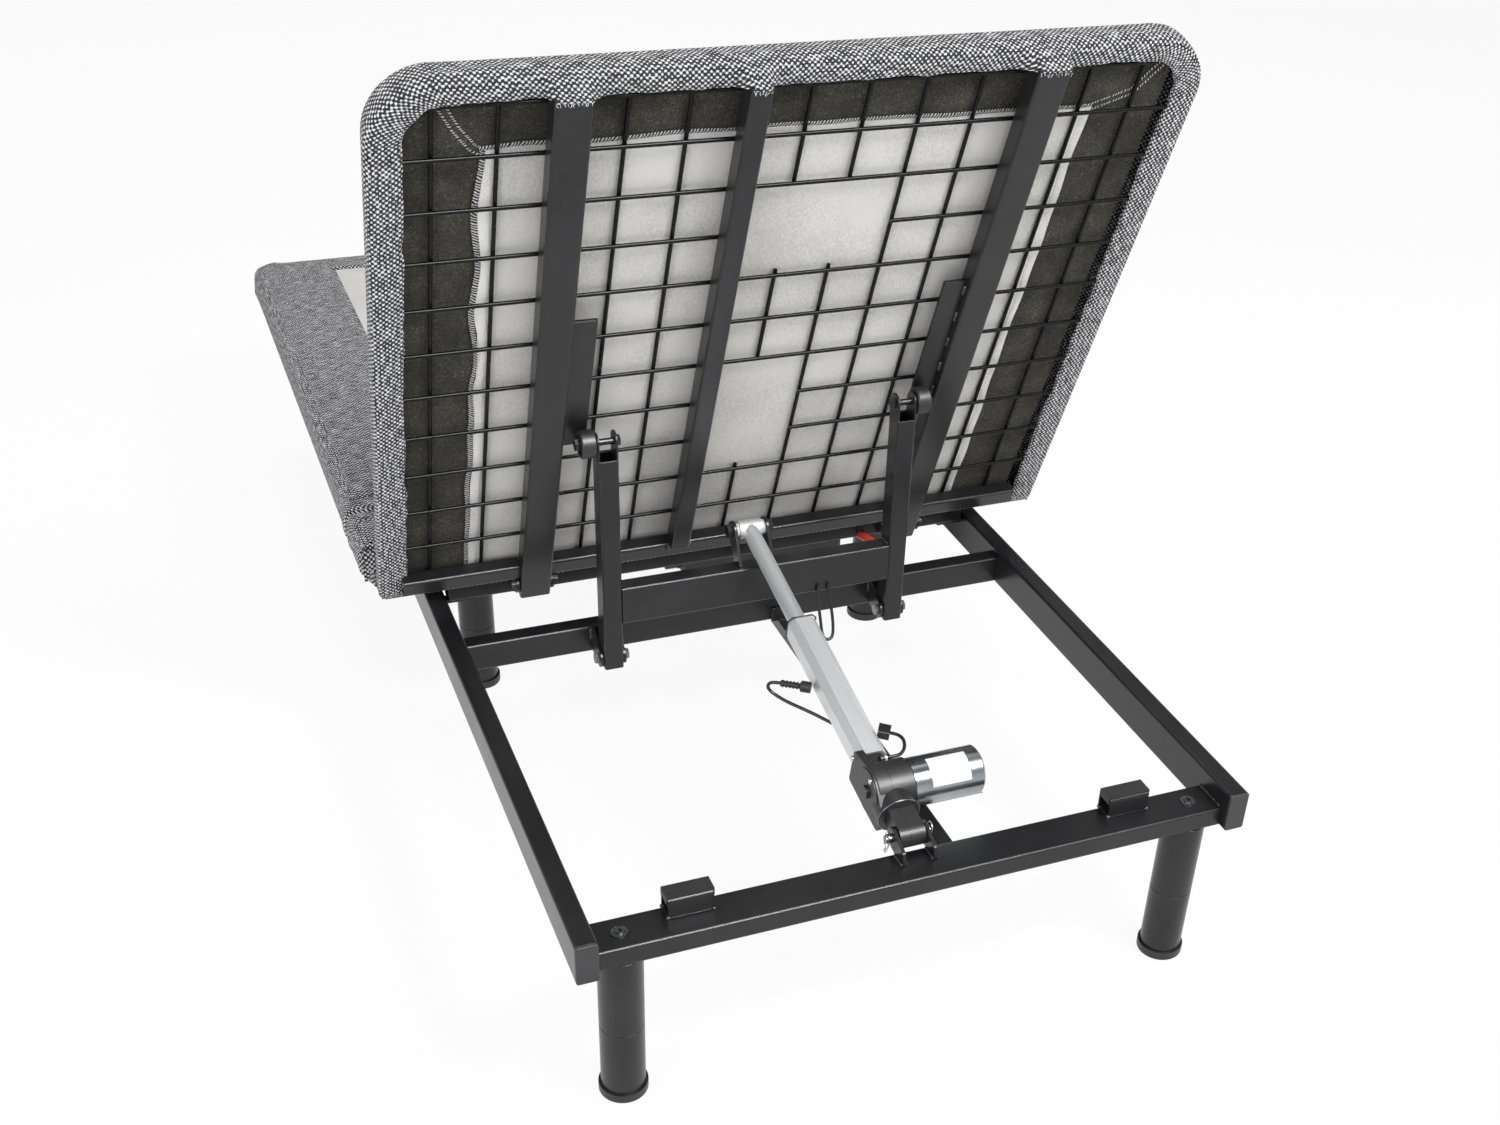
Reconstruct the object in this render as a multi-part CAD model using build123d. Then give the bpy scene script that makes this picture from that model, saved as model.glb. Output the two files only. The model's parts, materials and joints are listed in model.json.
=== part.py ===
from build123d import *
import math
import os

# Motorised bed base with a folding head panel and a folding leg panel.
# Lengths are in millimetres. While it is drawn, Y runs from the head end of the side rails (0)
# towards the foot, X runs across the bed and Z is the height above the floor.
# At the end everything moves so that the origin lies under the middle of the rest pose.

# Driving dimensions
DECK_WIDTH = 965.0
RAIL_LENGTH = 1742.0
RAIL_OUTER_WIDTH = 806.0
RAIL_WIDTH = 25.0
RAIL_HEIGHT = 50.0
FRAME_BOTTOM = 202.0
WALL = 2.0
CORNER = 3.0
PLATE = 4.0
FOOT_END = 1794.0

# Hinges of the two panels and the lift units
HINGE_HEIGHT = 267.0
HEAD_HINGE_Y = 693.8
LEG_HINGE_Y = 860.0
HEAD_REST_ANGLE = 68.1
LEG_REST_ANGLE = 0.0
ARM_PIVOT = (570.0, 213.0)
ARM_LENGTH = 305.5
REAR_PIN = (71.5, 242.0)
ROD_PIN = (27.0, 141.0)
ROLLER_RADIUS = 17.5
ROLLER_GAP = 0.3
TRACK_DROP = 2.5

# Heights of a panel's layers above its hinge line
TUBE_LOW = -12.5
TUBE_DEPTH = 25.0
TUBE_TOP = TUBE_LOW + TUBE_DEPTH
WIRE = 4.9
WIRE_PITCH = 66.3
ROW_HEIGHT = TUBE_TOP + 2.5
COLUMN_HEIGHT = TUBE_TOP + 7.5
BOARD_LOW = 25.0
PAD_LOW = 13.0
PAD_TOP = 57.0

# Pins and their running clearance
PIVOT_BOLT_R = 4.0
HINGE_BOLT_R = 5.0
CLEVIS_PIN_R = 5.0
RUNNING = 0.05

nodes = {}


def keep(name, *solids):
    """Store the separate solids of one named piece."""
    nodes[name] = [solid for shape in solids for solid in shape.solids()]


def tube_profile(width, height, wall=WALL):
    return RectangleRounded(width, height, CORNER) - Rectangle(width - 2 * wall, height - 2 * wall)


def tube_x(x_low, x_high, y, z, across_y, high):
    """Rectangular tube along X, centred on y and z."""
    body = extrude(tube_profile(high, across_y), x_high - x_low)
    return Pos(x_low, y, z) * Rot(0, 90, 0) * body


def tube_y(y_low, y_high, x, z, across_x, high):
    """Rectangular tube along Y, centred on x and z."""
    body = extrude(tube_profile(across_x, high), y_high - y_low)
    return Pos(x, y_low, z) * Rot(-90, 0, 0) * body


def block(x, y, z):
    """Plain block from three (low, high) pairs."""
    size = Box(x[1] - x[0], y[1] - y[0], z[1] - z[0])
    return Pos((x[0] + x[1]) / 2, (y[0] + y[1]) / 2, (z[0] + z[1]) / 2) * size


def pin_x(x_low, x_high, y, z, radius):
    """Round bar along X."""
    return Pos((x_low + x_high) / 2, y, z) * Rot(0, 90, 0) * Cylinder(radius, x_high - x_low)


def plate_x(x_low, thickness, outline):
    """Flat plate that faces along X, from an outline drawn in (y, z)."""
    face = Plane.YZ.offset(x_low) * outline
    return extrude(face, thickness, dir=(1, 0, 0))


def hull_outline(circles):
    """Outline that wraps round circles given as (y, z, radius)."""
    edges = [edge for y, z, r in circles for edge in (Pos(y, z) * Circle(r)).edges()]
    return make_face(make_hull(edges))


def hex_bolt_x(x_low, x_high, y, z, radius):
    """Bolt along X: shank from x_low to x_high with a hexagon head and a nut outside those ends."""
    flat_radius = radius * 1.62
    thick = radius * 1.3
    head = extrude(RegularPolygon(flat_radius, 6, major_radius=False), thick)
    shank = pin_x(x_low - thick, x_high + thick, y, z, radius)
    near = Pos(x_low - thick, y, z) * Rot(0, 90, 0) * head
    far = Pos(x_high, y, z) * Rot(0, 90, 0) * head
    return shank + near + far


# Kinematics of a lift unit, in the (y, z) plane of the head unit
def turn(point, degrees):
    c = math.cos(math.radians(degrees))
    s = math.sin(math.radians(degrees))
    return (point[0] * c - point[1] * s, point[0] * s + point[1] * c)


def arm_angle(fold, reach):
    """Angle of the lift arm above +Y when its roller touches a track at this fold angle.
    reach is the distance along the bed from the arm's pivot to the panel's hinge."""
    drop = TRACK_DROP + ROLLER_RADIUS + ROLLER_GAP
    rise = HINGE_HEIGHT - ARM_PIVOT[1]
    a = math.radians(fold)
    lever = (reach * math.sin(a) + rise * math.cos(a) - drop) / ARM_LENGTH
    return 180.0 - math.degrees(math.asin(lever)) - fold


def rod_pin_at(angle):
    """Place of the clevis pin when the arm stands at this angle."""
    y, z = turn(ROD_PIN, angle - 90.0)
    return (ARM_PIVOT[0] + y, ARM_PIVOT[1] + z)


def turned_round(shape):
    """The leg unit is the head unit turned end for end on the frame."""
    return Pos(0, RAIL_LENGTH, 0) * Rot(0, 0, 180) * shape


def mirrored_x(shape):
    return mirror(shape, about=Plane.YZ)


# Underframe
RAIL_MID_Z = FRAME_BOTTOM + RAIL_HEIGHT / 2
RAIL_X = RAIL_OUTER_WIDTH / 2 - RAIL_WIDTH / 2
RAIL_INNER_X = RAIL_OUTER_WIDTH / 2 - RAIL_WIDTH
CAP_FLANGE = 3.0
CAP_PLUG = 16.0
TAB_Y = (720.0, 819.0)
TAB_SIZE = (39.0, 15.0, 4.0)
SEAT_TUBE_LOW = 242.5
PANEL_TUBE_LOW = HINGE_HEIGHT + TUBE_LOW


def side_rail():
    """Rail with two welded tabs that carry the seat frame."""
    rail = tube_y(CAP_FLANGE, RAIL_LENGTH - CAP_FLANGE, RAIL_X, RAIL_MID_Z, RAIL_WIDTH, RAIL_HEIGHT)
    tabs = [block((RAIL_INNER_X - TAB_SIZE[0], RAIL_INNER_X), (y, y + TAB_SIZE[1]),
                  (SEAT_TUBE_LOW - TAB_SIZE[2], SEAT_TUBE_LOW)) for y in TAB_Y]
    return [rail] + tabs


def rail_cap():
    """Moulded cap: a rounded flange and a plug that fits the tube."""
    flange = extrude(RectangleRounded(RAIL_WIDTH, RAIL_HEIGHT, CORNER), CAP_FLANGE)
    flange = fillet(flange.faces().sort_by(Axis.Z)[0].edges(), 1.0)
    fit = 2 * WALL + 0.4
    plug = Pos(0, 0, CAP_FLANGE) * extrude(Rectangle(RAIL_WIDTH - fit, RAIL_HEIGHT - fit), CAP_PLUG)
    return Pos(RAIL_X, 0, RAIL_MID_Z) * Rot(-90, 0, 0) * (flange + plug)


keep("side_rail_right", *side_rail())
keep("side_rail_left", *[mirrored_x(piece) for piece in side_rail()])
caps = [rail_cap(), mirrored_x(rail_cap())]
keep("rail_end_caps", *caps, *[turned_round(cap) for cap in caps])

CROSS_DEPTH = 50.0
CROSS_HEIGHT = 25.0
CROSS_Y = 37.4
CROSS_TOP = FRAME_BOTTOM + CROSS_HEIGHT
BUMPER_X = 266.0
STUB = 25.0
STUB_LENGTH = 51.0
STUB_Y = CROSS_Y + CROSS_DEPTH / 2 - 9.5
BUMPER_LIP = 1.2
BUMPER_TOP = PANEL_TUBE_LOW - 0.5


def end_cross_rail():
    """Flat tube with two stubs of square tube welded on it, which carry the panel's tubes when it is down."""
    rail = tube_x(-RAIL_INNER_X, RAIL_INNER_X, CROSS_Y, FRAME_BOTTOM + CROSS_HEIGHT / 2,
                  CROSS_DEPTH, CROSS_HEIGHT)
    half = STUB_LENGTH / 2
    stub = tube_x(-half, half, STUB_Y, CROSS_TOP + STUB / 2, STUB, STUB)
    return [rail, Pos(-BUMPER_X, 0, 0) * stub, Pos(BUMPER_X, 0, 0) * stub]


def bumper_cap(x):
    """Rubber pad on a stub, with lips that hang over its two open ends."""
    low = CROSS_TOP + STUB
    pad = block((x - STUB_LENGTH / 2 - BUMPER_LIP, x + STUB_LENGTH / 2 + BUMPER_LIP),
                (STUB_Y - STUB / 2 + 2, STUB_Y + STUB / 2 - 2), (low, BUMPER_TOP))
    ends = [block((end, end + BUMPER_LIP), (STUB_Y - STUB / 2 + 2, STUB_Y + STUB / 2 - 2), (low - 7, low))
            for end in (x - STUB_LENGTH / 2 - BUMPER_LIP, x + STUB_LENGTH / 2)]
    return pad + ends[0] + ends[1]


keep("head_cross_rail", *end_cross_rail())
keep("foot_cross_rail", *[turned_round(piece) for piece in end_cross_rail()])
bumpers = [bumper_cap(-BUMPER_X), bumper_cap(BUMPER_X)]
keep("bumper_caps", *bumpers, *[turned_round(cap) for cap in bumpers])

LIFT_RAIL_Y = (605.0, 630.0)
LIFT_RAIL_HEIGHT = 38.0
LIFT_RAIL_MID = sum(LIFT_RAIL_Y) / 2
SEAT_RAIL_Y = 885.0
SPINE = 20.0
SPINE_X = 57.5


def lift_rail():
    return tube_x(-RAIL_INNER_X, RAIL_INNER_X, LIFT_RAIL_MID, FRAME_BOTTOM + LIFT_RAIL_HEIGHT / 2,
                  LIFT_RAIL_Y[1] - LIFT_RAIL_Y[0], LIFT_RAIL_HEIGHT)


def spine_tube():
    """Square tube under the actuator, with a gusset plate on the lift rail's face."""
    tube = tube_y(CROSS_Y + 8, LIFT_RAIL_Y[1], SPINE_X, FRAME_BOTTOM - SPINE / 2, SPINE, SPINE)
    gusset = block((SPINE_X - 20, SPINE_X + 14), (LIFT_RAIL_Y[0] - PLATE, LIFT_RAIL_Y[0]),
                   (FRAME_BOTTOM, FRAME_BOTTOM + 20))
    return [tube, gusset]


keep("head_lift_rail", lift_rail())
keep("leg_lift_rail", turned_round(lift_rail()))
keep("seat_cross_rail", tube_x(-RAIL_INNER_X, RAIL_INNER_X, SEAT_RAIL_Y, FRAME_BOTTOM + CROSS_HEIGHT / 2,
                               CROSS_DEPTH, CROSS_HEIGHT))
keep("spine_tubes", *spine_tube(), *[turned_round(piece) for piece in spine_tube()])

# Legs: an upper and a lower tube with a foot cap, at the two ends and under the seat
LEG_R = 25.0
LEG_SEAM = 100.0
SEAM_GAP = 0.8
LEG_WALL = 1.5
FOOT_R = 27.8
FOOT_HEIGHT = 12.0
FOOT_FLOOR = 4.0
NUT_R = 9.0
STUD_R = 5.2
LEG_PLACES = [(346.0, CROSS_Y), (308.0, SEAT_RAIL_Y), (346.0, RAIL_LENGTH - CROSS_Y)]


def leg_tube(z_low, z_high):
    """Round tube closed by a welded disc at its top."""
    ring = Circle(LEG_R) - Circle(LEG_R - LEG_WALL)
    tube = Pos(0, 0, z_low) * extrude(ring, z_high - z_low)
    disc = Pos(0, 0, z_high - 3) * extrude(Circle(LEG_R - LEG_WALL / 2), 3)
    return tube + disc


def foot_cap():
    cup = Cylinder(FOOT_R, FOOT_HEIGHT, align=(Align.CENTER, Align.CENTER, Align.MIN))
    cup = fillet(cup.edges().group_by(Axis.Z)[0], 2.5)
    pocket = Pos(0, 0, FOOT_FLOOR) * Cylinder(LEG_R + 0.1, FOOT_HEIGHT,
                                              align=(Align.CENTER, Align.CENTER, Align.MIN))
    return cup - pocket


def leg_nut():
    """Threaded insert on top of a cross rail with the end of the leg's stud in it."""
    ring = Circle(NUT_R) - Circle(STUD_R)
    stud = Circle(STUD_R) - Circle(STUD_R - 2)
    return extrude(ring, 1.6) + extrude(stud, 3.2)


leg_spots = [Pos(side * x, y, 0) for x, y in LEG_PLACES for side in (-1, 1)]
lower_leg = leg_tube(FOOT_FLOOR, LEG_SEAM - SEAM_GAP / 2)
upper_leg = leg_tube(LEG_SEAM + SEAM_GAP / 2, FRAME_BOTTOM)
keep("leg_tubes", *[spot * piece for spot in leg_spots for piece in (lower_leg, upper_leg)])
keep("foot_caps", *[spot * foot_cap() for spot in leg_spots])

# Lift unit: brackets on the frame, arms, crossbar, rollers and actuator
ARM_X = 197.0
ARM_WIDTH = 25.0
ARM_DEPTH = 30.0
ARM_BELOW = 11.0
EAR_R = 13.0
EAR_CUT = 20.0
SIDE_GAP = 0.5
BRACKET_R = 12.0
ROLLER_X = 220.0
ROLLER_WIDTH = 18.0
CROSSBAR_Z = (54.0, 106.0)
CROSSBAR_Y = (-15.0, 10.0)
CLEVIS_X = 20.0
CLEVIS_R = 13.0


def arm_brackets():
    """Two plates each side that run forward from the lift rail to the arm's pivot."""
    y, z = ARM_PIVOT
    back = LIFT_RAIL_Y[0] - 3
    shape = hull_outline([(y, z, BRACKET_R), (back, FRAME_BOTTOM + 9, 3), (back, FRAME_BOTTOM + 34, 3)])
    shape -= Pos(y, z) * Circle(PIVOT_BOLT_R + RUNNING)
    inner = ARM_X - ARM_WIDTH / 2 - SIDE_GAP - PLATE
    outer = ARM_X + ARM_WIDTH / 2 + SIDE_GAP
    right = [plate_x(inner, PLATE, shape), plate_x(outer, PLATE, shape)]
    return right + [mirrored_x(plate) for plate in right]


def arm_bolts():
    reach = ARM_WIDTH / 2 + SIDE_GAP + PLATE
    right = hex_bolt_x(ARM_X - reach, ARM_X + reach, *ARM_PIVOT, PIVOT_BOLT_R)
    return [right, mirrored_x(right)]


def lift_arm(x):
    """Tube arm, drawn upright with its pivot at the origin. Its top is cut to two rounded ears."""
    top = ARM_LENGTH + EAR_R
    arm = Pos(x, 0, -ARM_BELOW) * extrude(tube_profile(ARM_WIDTH, ARM_DEPTH), top + ARM_BELOW)
    gap = block((x - ARM_WIDTH, x + ARM_WIDTH), (-ARM_DEPTH, ARM_DEPTH), (ARM_LENGTH - EAR_CUT, top + 1))
    ear = hull_outline([(0, ARM_LENGTH, EAR_R), (0, ARM_LENGTH - EAR_CUT - 8, EAR_R)])
    walls = [plate_x(x - ARM_WIDTH / 2, WALL, ear), plate_x(x + ARM_WIDTH / 2 - WALL, WALL, ear)]
    arm = arm - gap + walls[0] + walls[1]
    for z in (0, ARM_LENGTH):
        arm -= pin_x(x - ARM_WIDTH, x + ARM_WIDTH, 0, z, PIVOT_BOLT_R + RUNNING)
    return arm


def crossbar():
    """Tube between the arms with two clevis plates that lean back to the rod's pin."""
    inner = ARM_X - ARM_WIDTH / 2
    bar = tube_x(-inner, inner, sum(CROSSBAR_Y) / 2, sum(CROSSBAR_Z) / 2,
                 CROSSBAR_Y[1] - CROSSBAR_Y[0], CROSSBAR_Z[1] - CROSSBAR_Z[0])
    y, z = ROD_PIN
    shape = hull_outline([(y, z, CLEVIS_R), (CROSSBAR_Y[1] - 2, CROSSBAR_Z[1] - 14, 2),
                          (-4, CROSSBAR_Z[1] - 1, 2)])
    shape -= Pos(y, z) * Circle(CLEVIS_PIN_R + RUNNING)
    shape -= Pos(sum(CROSSBAR_Y) / 2, sum(CROSSBAR_Z) / 2) * Rectangle(
        CROSSBAR_Y[1] - CROSSBAR_Y[0] - 1, CROSSBAR_Z[1] - CROSSBAR_Z[0] - 1)
    for x in (CLEVIS_X, -CLEVIS_X - PLATE):
        bar += plate_x(x, PLATE, shape)
    return bar


def arm_pins():
    """Two roller axles and the clevis pin."""
    axle_in = ARM_X - ARM_WIDTH / 2
    axle_out = ROLLER_X + ROLLER_WIDTH / 2 + 0.5
    axle = hex_bolt_x(axle_in, axle_out, 0, ARM_LENGTH, PIVOT_BOLT_R)
    collar = pin_x(ARM_X + ARM_WIDTH / 2, ROLLER_X - ROLLER_WIDTH / 2 - 0.3, 0, ARM_LENGTH, 8)
    axle += collar
    clevis = hex_bolt_x(-CLEVIS_X - PLATE, CLEVIS_X + PLATE, *ROD_PIN, CLEVIS_PIN_R)
    return [axle, mirrored_x(axle), clevis]


def roller(side):
    """Moulded wheel with a dished side and a hub, free on its axle."""
    half = ROLLER_WIDTH / 2
    hub = 8.0
    dish = 12.5
    bore = PIVOT_BOLT_R + RUNNING
    profile = [(bore, -half), (hub, -half), (hub, -half + 3), (dish, -half + 3), (dish, -half),
               (ROLLER_RADIUS - 1.5, -half), (ROLLER_RADIUS, -half + 1.5), (ROLLER_RADIUS, half - 1.5),
               (ROLLER_RADIUS - 1.5, half), (dish, half), (dish, half - 3), (hub, half - 3),
               (hub, half), (bore, half)]
    wheel = revolve(Plane.XZ * make_face(Polyline(*profile, close=True)), Axis.Z)
    return Pos(side * ROLLER_X, 0, ARM_LENGTH) * Rot(0, 90, 0) * wheel


# Actuator, drawn along +Y with its rear pin at the origin
ROD_R = 11.0
ROD_LENGTH = 245.0
EYE_R = 12.0
EYE_SINK = 3.0
EYE_HALF = 15.0
BUSH_R = 9.5
TUBE_SIDE = 36.0
TUBE_CHAMFER = 8.0
TUBE_WALL = 3.0
TUBE_START = 112.0
TUBE_END = 345.0
MOUTH_BUSH = 14.0
DRUM_R = 31.0
DRUM_X = (-20.0, 25.0)
DRUM_CENTRE = (70.0, 2.0)
SIDE_PLATE_X = -22.0
SOCKET_Y = 101.0
GLAND = (98.3, 20.0)
CUP_R = 24.5
CUP_Y = (28.0, 50.0)
SPLIT_X = -3.0
KNUCKLE_HALF = 15.5
KNUCKLE_R = 14.0
EAR_X = 17.0
MOTOR_R = 29.0
MOTOR_X = (25.0, 118.0)


def push_rod():
    """Round rod that ends in an eye. Drawn back from the eye at the origin, towards -Y."""
    rod = Pos(0, -(ROD_LENGTH + EYE_SINK) / 2, 0) * Rot(90, 0, 0) * Cylinder(ROD_R, ROD_LENGTH - EYE_SINK)
    rod += pin_x(-EYE_HALF, EYE_HALF, 0, 0, EYE_R)
    return rod - pin_x(-EYE_HALF - 1, EYE_HALF + 1, 0, 0, CLEVIS_PIN_R + RUNNING)


def rod_bush(side):
    ring = Circle(BUSH_R) - Circle(CLEVIS_PIN_R + RUNNING)
    low = EYE_HALF if side > 0 else -CLEVIS_X + 0.2
    return extrude(Plane.YZ.offset(low) * ring, CLEVIS_X - EYE_HALF - 0.2, dir=(1, 0, 0))


def drive_tube():
    """Extruded aluminium tube with chamfered corners."""
    outer = chamfer(Rectangle(TUBE_SIDE, TUBE_SIDE).vertices(), TUBE_CHAMFER)
    inside = TUBE_SIDE - 2 * TUBE_WALL
    inner = chamfer(Rectangle(inside, inside).vertices(), TUBE_CHAMFER - 1.2)
    body = extrude(outer - inner, TUBE_END - TUBE_START)
    return Pos(0, TUBE_START, 0) * Rot(-90, 0, 0) * body


def mouth_bush():
    """Black guide in the tube's mouth that the rod slides through."""
    inside = TUBE_SIDE - 2 * TUBE_WALL - 0.2
    ring = chamfer(Rectangle(inside, inside).vertices(), TUBE_CHAMFER - 1.2) - Circle(ROD_R + 0.3)
    flange = chamfer(Rectangle(TUBE_SIDE - 1, TUBE_SIDE - 1).vertices(), TUBE_CHAMFER) - Circle(ROD_R + 0.3)
    bush = extrude(ring, MOUTH_BUSH) + Pos(0, 0, MOUTH_BUSH) * extrude(flange, 1.2)
    return Pos(0, TUBE_END - MOUTH_BUSH, 0) * Rot(-90, 0, 0) * bush


def gear_housing():
    """Moulded housing in two halves: worm drum, tube socket, side plate, cable gland, rear cup and knuckle.
    The knuckle's eye is open underneath, so it can be lifted off the rear pin."""
    y, z = DRUM_CENTRE
    drum = pin_x(*DRUM_X, y, z, DRUM_R)
    drum = fillet(drum.edges().group_by(Axis.X)[0], 2.0)
    socket = block((SIDE_PLATE_X, 22), (SOCKET_Y, TUBE_START + 6), (-21, 21))
    socket = fillet(socket.edges().filter_by(Axis.Y), 5.0)
    core = Pos(0, y, 0) * Rot(90, 0, 0) * Cylinder(17, 80)
    cup = Pos(0, sum(CUP_Y) / 2, 0) * Rot(90, 0, 0) * Cylinder(CUP_R, CUP_Y[1] - CUP_Y[0])
    side = hull_outline([(y, z, DRUM_R - 1), (TUBE_START + 2, 17, 4), (TUBE_START + 2, -24, 4), (38, -20, 7),
                         (40, 8, 7)])
    plate = plate_x(SIDE_PLATE_X, 10, side)
    boss = pin_x(SIDE_PLATE_X - 1.2, DRUM_X[0], y, z, DRUM_R - 3) + pin_x(SIDE_PLATE_X - 5, DRUM_X[0], y, z, 8)
    gland = pin_x(2, 9.5, *GLAND, 4.2)
    knuckle_shape = hull_outline([(0, 0, KNUCKLE_R), (CUP_Y[0] + 4, 5, 9), (CUP_Y[0] + 4, 0, 9)])
    knuckle = plate_x(-KNUCKLE_HALF, 2 * KNUCKLE_HALF, knuckle_shape)
    body = drum + socket + core + cup + plate + boss + gland + knuckle
    mouth_r = CLEVIS_PIN_R + RUNNING
    way_down = hull_outline([(0, 0, mouth_r), (3, -40, mouth_r + 1)])
    way_back = hull_outline([(0, 0, mouth_r), (5.4, -6.6, mouth_r + 0.5), (13, -18, mouth_r + 1)])
    between = hull_outline([(3, -40, 5), (13, -18, 5), (24, -36, 5)])
    slot = way_down + way_back + between
    body -= plate_x(-KNUCKLE_HALF - 1, 2 * KNUCKLE_HALF + 2, slot)
    body -= Pos(0, TUBE_START + 50, 0) * Rot(90, 0, 0) * Cylinder(ROD_R + 1, 120)
    body -= drive_tube_socket()
    left = body & block((-60, SPLIT_X - 0.1), (-60, 200), (-80, 80))
    right = body & block((SPLIT_X + 0.1, 60), (-60, 200), (-80, 80))
    return [left, right]


def drive_tube_socket():
    """Pocket in the housing's front face that the tube sits in."""
    shape = chamfer(Rectangle(TUBE_SIDE, TUBE_SIDE).vertices(), TUBE_CHAMFER)
    return Pos(0, TUBE_START - 0.1, 0) * Rot(-90, 0, 0) * extrude(shape, 20)


def motor_can():
    """Drawn steel can with a crimped end and a bearing boss."""
    y, z = DRUM_CENTRE
    length = MOTOR_X[1] - MOTOR_X[0]
    profile = [(0, 0), (MOTOR_R - 2, 0), (MOTOR_R - 2, 2), (MOTOR_R, 2), (MOTOR_R, length - 6),
               (MOTOR_R - 2.5, length - 3.5), (9, length - 3.5), (9, length), (0, length)]
    can = revolve(Plane.XZ * make_face(Polyline(*profile, close=True)), Axis.Z)
    return Pos(MOTOR_X[0], y, z) * Rot(0, 90, 0) * can


def rear_ears():
    """Two ear plates welded on the end cross rail that hold the actuator's rear pin."""
    y, z = REAR_PIN
    shape = hull_outline([(y, z, 12.5), (44, CROSS_TOP + 12, 4), (38.5, CROSS_TOP + 1.5, 1.5),
                          (61, CROSS_TOP + 1.5, 1.5)])
    shape -= Pos(y, z) * Circle(CLEVIS_PIN_R + RUNNING)
    right = plate_x(EAR_X, PLATE, shape)
    return [right, mirrored_x(right)]


def rear_pin():
    pin = pin_x(-EAR_X - PLATE - 8, EAR_X + PLATE + 2, *REAR_PIN, CLEVIS_PIN_R)
    return pin + pin_x(EAR_X + PLATE, EAR_X + PLATE + 3, *REAR_PIN, CLEVIS_PIN_R + 3)


def lift_unit(prefix, angle, placed):
    """Make the moving pieces of one lift unit with its arm at this angle, then place them."""
    stand = Pos(0, *ARM_PIVOT) * Rot(angle - 90.0, 0, 0)
    keep(prefix + "_arm_left", placed(stand * lift_arm(-ARM_X)))
    keep(prefix + "_arm_right", placed(stand * lift_arm(ARM_X)))
    keep(prefix + "_crossbar", placed(stand * crossbar()))
    keep(prefix + "_arm_pins", *[placed(stand * pin) for pin in arm_pins()])
    keep(prefix + "_roller_left", placed(stand * roller(-1)))
    keep(prefix + "_roller_right", placed(stand * roller(1)))
    y, z = rod_pin_at(angle)
    slope = math.degrees(math.atan2(z - REAR_PIN[1], y - REAR_PIN[0]))
    at_rod = Pos(0, y, z) * Rot(slope, 0, 0)
    at_drive = Pos(0, *REAR_PIN) * Rot(slope, 0, 0)
    keep(prefix + "_push_rod", placed(at_rod * push_rod()))
    keep(prefix + "_rod_bushes", placed(at_rod * rod_bush(-1)), placed(at_rod * rod_bush(1)))
    keep(prefix + "_drive_tube", placed(at_drive * drive_tube()))
    housing = gear_housing() + [mouth_bush()]
    keep(prefix + "_gear_housing", *[placed(at_drive * piece) for piece in housing])
    keep(prefix + "_motor_can", placed(at_drive * motor_can()))
    return at_drive


HEAD_ARM_ANGLE = arm_angle(HEAD_REST_ANGLE, HEAD_HINGE_Y - ARM_PIVOT[0])
LEG_ARM_ANGLE = arm_angle(LEG_REST_ANGLE, RAIL_LENGTH - ARM_PIVOT[0] - LEG_HINGE_Y)
head_drive_place = lift_unit("head", HEAD_ARM_ANGLE, lambda shape: shape)
lift_unit("leg", LEG_ARM_ANGLE, turned_round)
brackets = arm_brackets()
keep("arm_pivot_brackets", *brackets, *[turned_round(plate) for plate in brackets])
ears = rear_ears()
keep("actuator_ears", *ears, *[turned_round(ear) for ear in ears])

# Seat section, fixed on the rails between the two panels
SEAT_TUBE = 25.0
SEAT_FRONT_Y = (716.0, 741.0)
SEAT_REAR_Y = (813.0, 838.0)
SEAT_HALF = RAIL_INNER_X - 4
MAIN_X = 265.0
MAIN_WIDTH = 40.0
SEAT_PAD_Y = (749.0, 830.0)
RISER = 8.0
RISER_Y = (759.0, 824.0)
seat_mid_z = SEAT_TUBE_LOW + TUBE_DEPTH / 2
seat_front = tube_x(-SEAT_HALF, SEAT_HALF, sum(SEAT_FRONT_Y) / 2, seat_mid_z, SEAT_TUBE, TUBE_DEPTH)
seat_rear = tube_x(-SEAT_HALF, SEAT_HALF, sum(SEAT_REAR_Y) / 2, seat_mid_z, SEAT_TUBE, TUBE_DEPTH)
seat_side = tube_y(SEAT_FRONT_Y[1], SEAT_REAR_Y[0], MAIN_X, seat_mid_z, MAIN_WIDTH, TUBE_DEPTH)
risers = [block((-SEAT_HALF, SEAT_HALF), (y - RISER / 2, y + RISER / 2),
                (SEAT_TUBE_LOW + TUBE_DEPTH, PANEL_TUBE_LOW + TUBE_DEPTH)) for y in RISER_Y]
keep("seat_frame_tubes", seat_front, seat_rear, seat_side, mirrored_x(seat_side), *risers)


def hinge_plates(hinge_y, wall_y):
    """Plates each side of a main tube's end, welded to a seat tube at wall_y."""
    edge = wall_y + (1 if wall_y < hinge_y else -1) * 1.5
    shape = hull_outline([(hinge_y, HINGE_HEIGHT, 11), (edge, SEAT_TUBE_LOW + 5, 1.5),
                          (edge, SEAT_TUBE_LOW + TUBE_DEPTH - 2, 1.5)])
    shape -= Pos(hinge_y, HINGE_HEIGHT) * Circle(HINGE_BOLT_R + RUNNING)
    inner = MAIN_X - MAIN_WIDTH / 2 - SIDE_GAP - PLATE
    outer = MAIN_X + MAIN_WIDTH / 2 + SIDE_GAP
    right = [plate_x(inner, PLATE, shape), plate_x(outer, PLATE, shape)]
    return right + [mirrored_x(plate) for plate in right]


def hinge_bolts(hinge_y):
    reach = MAIN_WIDTH / 2 + SIDE_GAP + PLATE
    right = hex_bolt_x(MAIN_X - reach, MAIN_X + reach, hinge_y, HINGE_HEIGHT, HINGE_BOLT_R)
    return [right, mirrored_x(right)]


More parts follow.
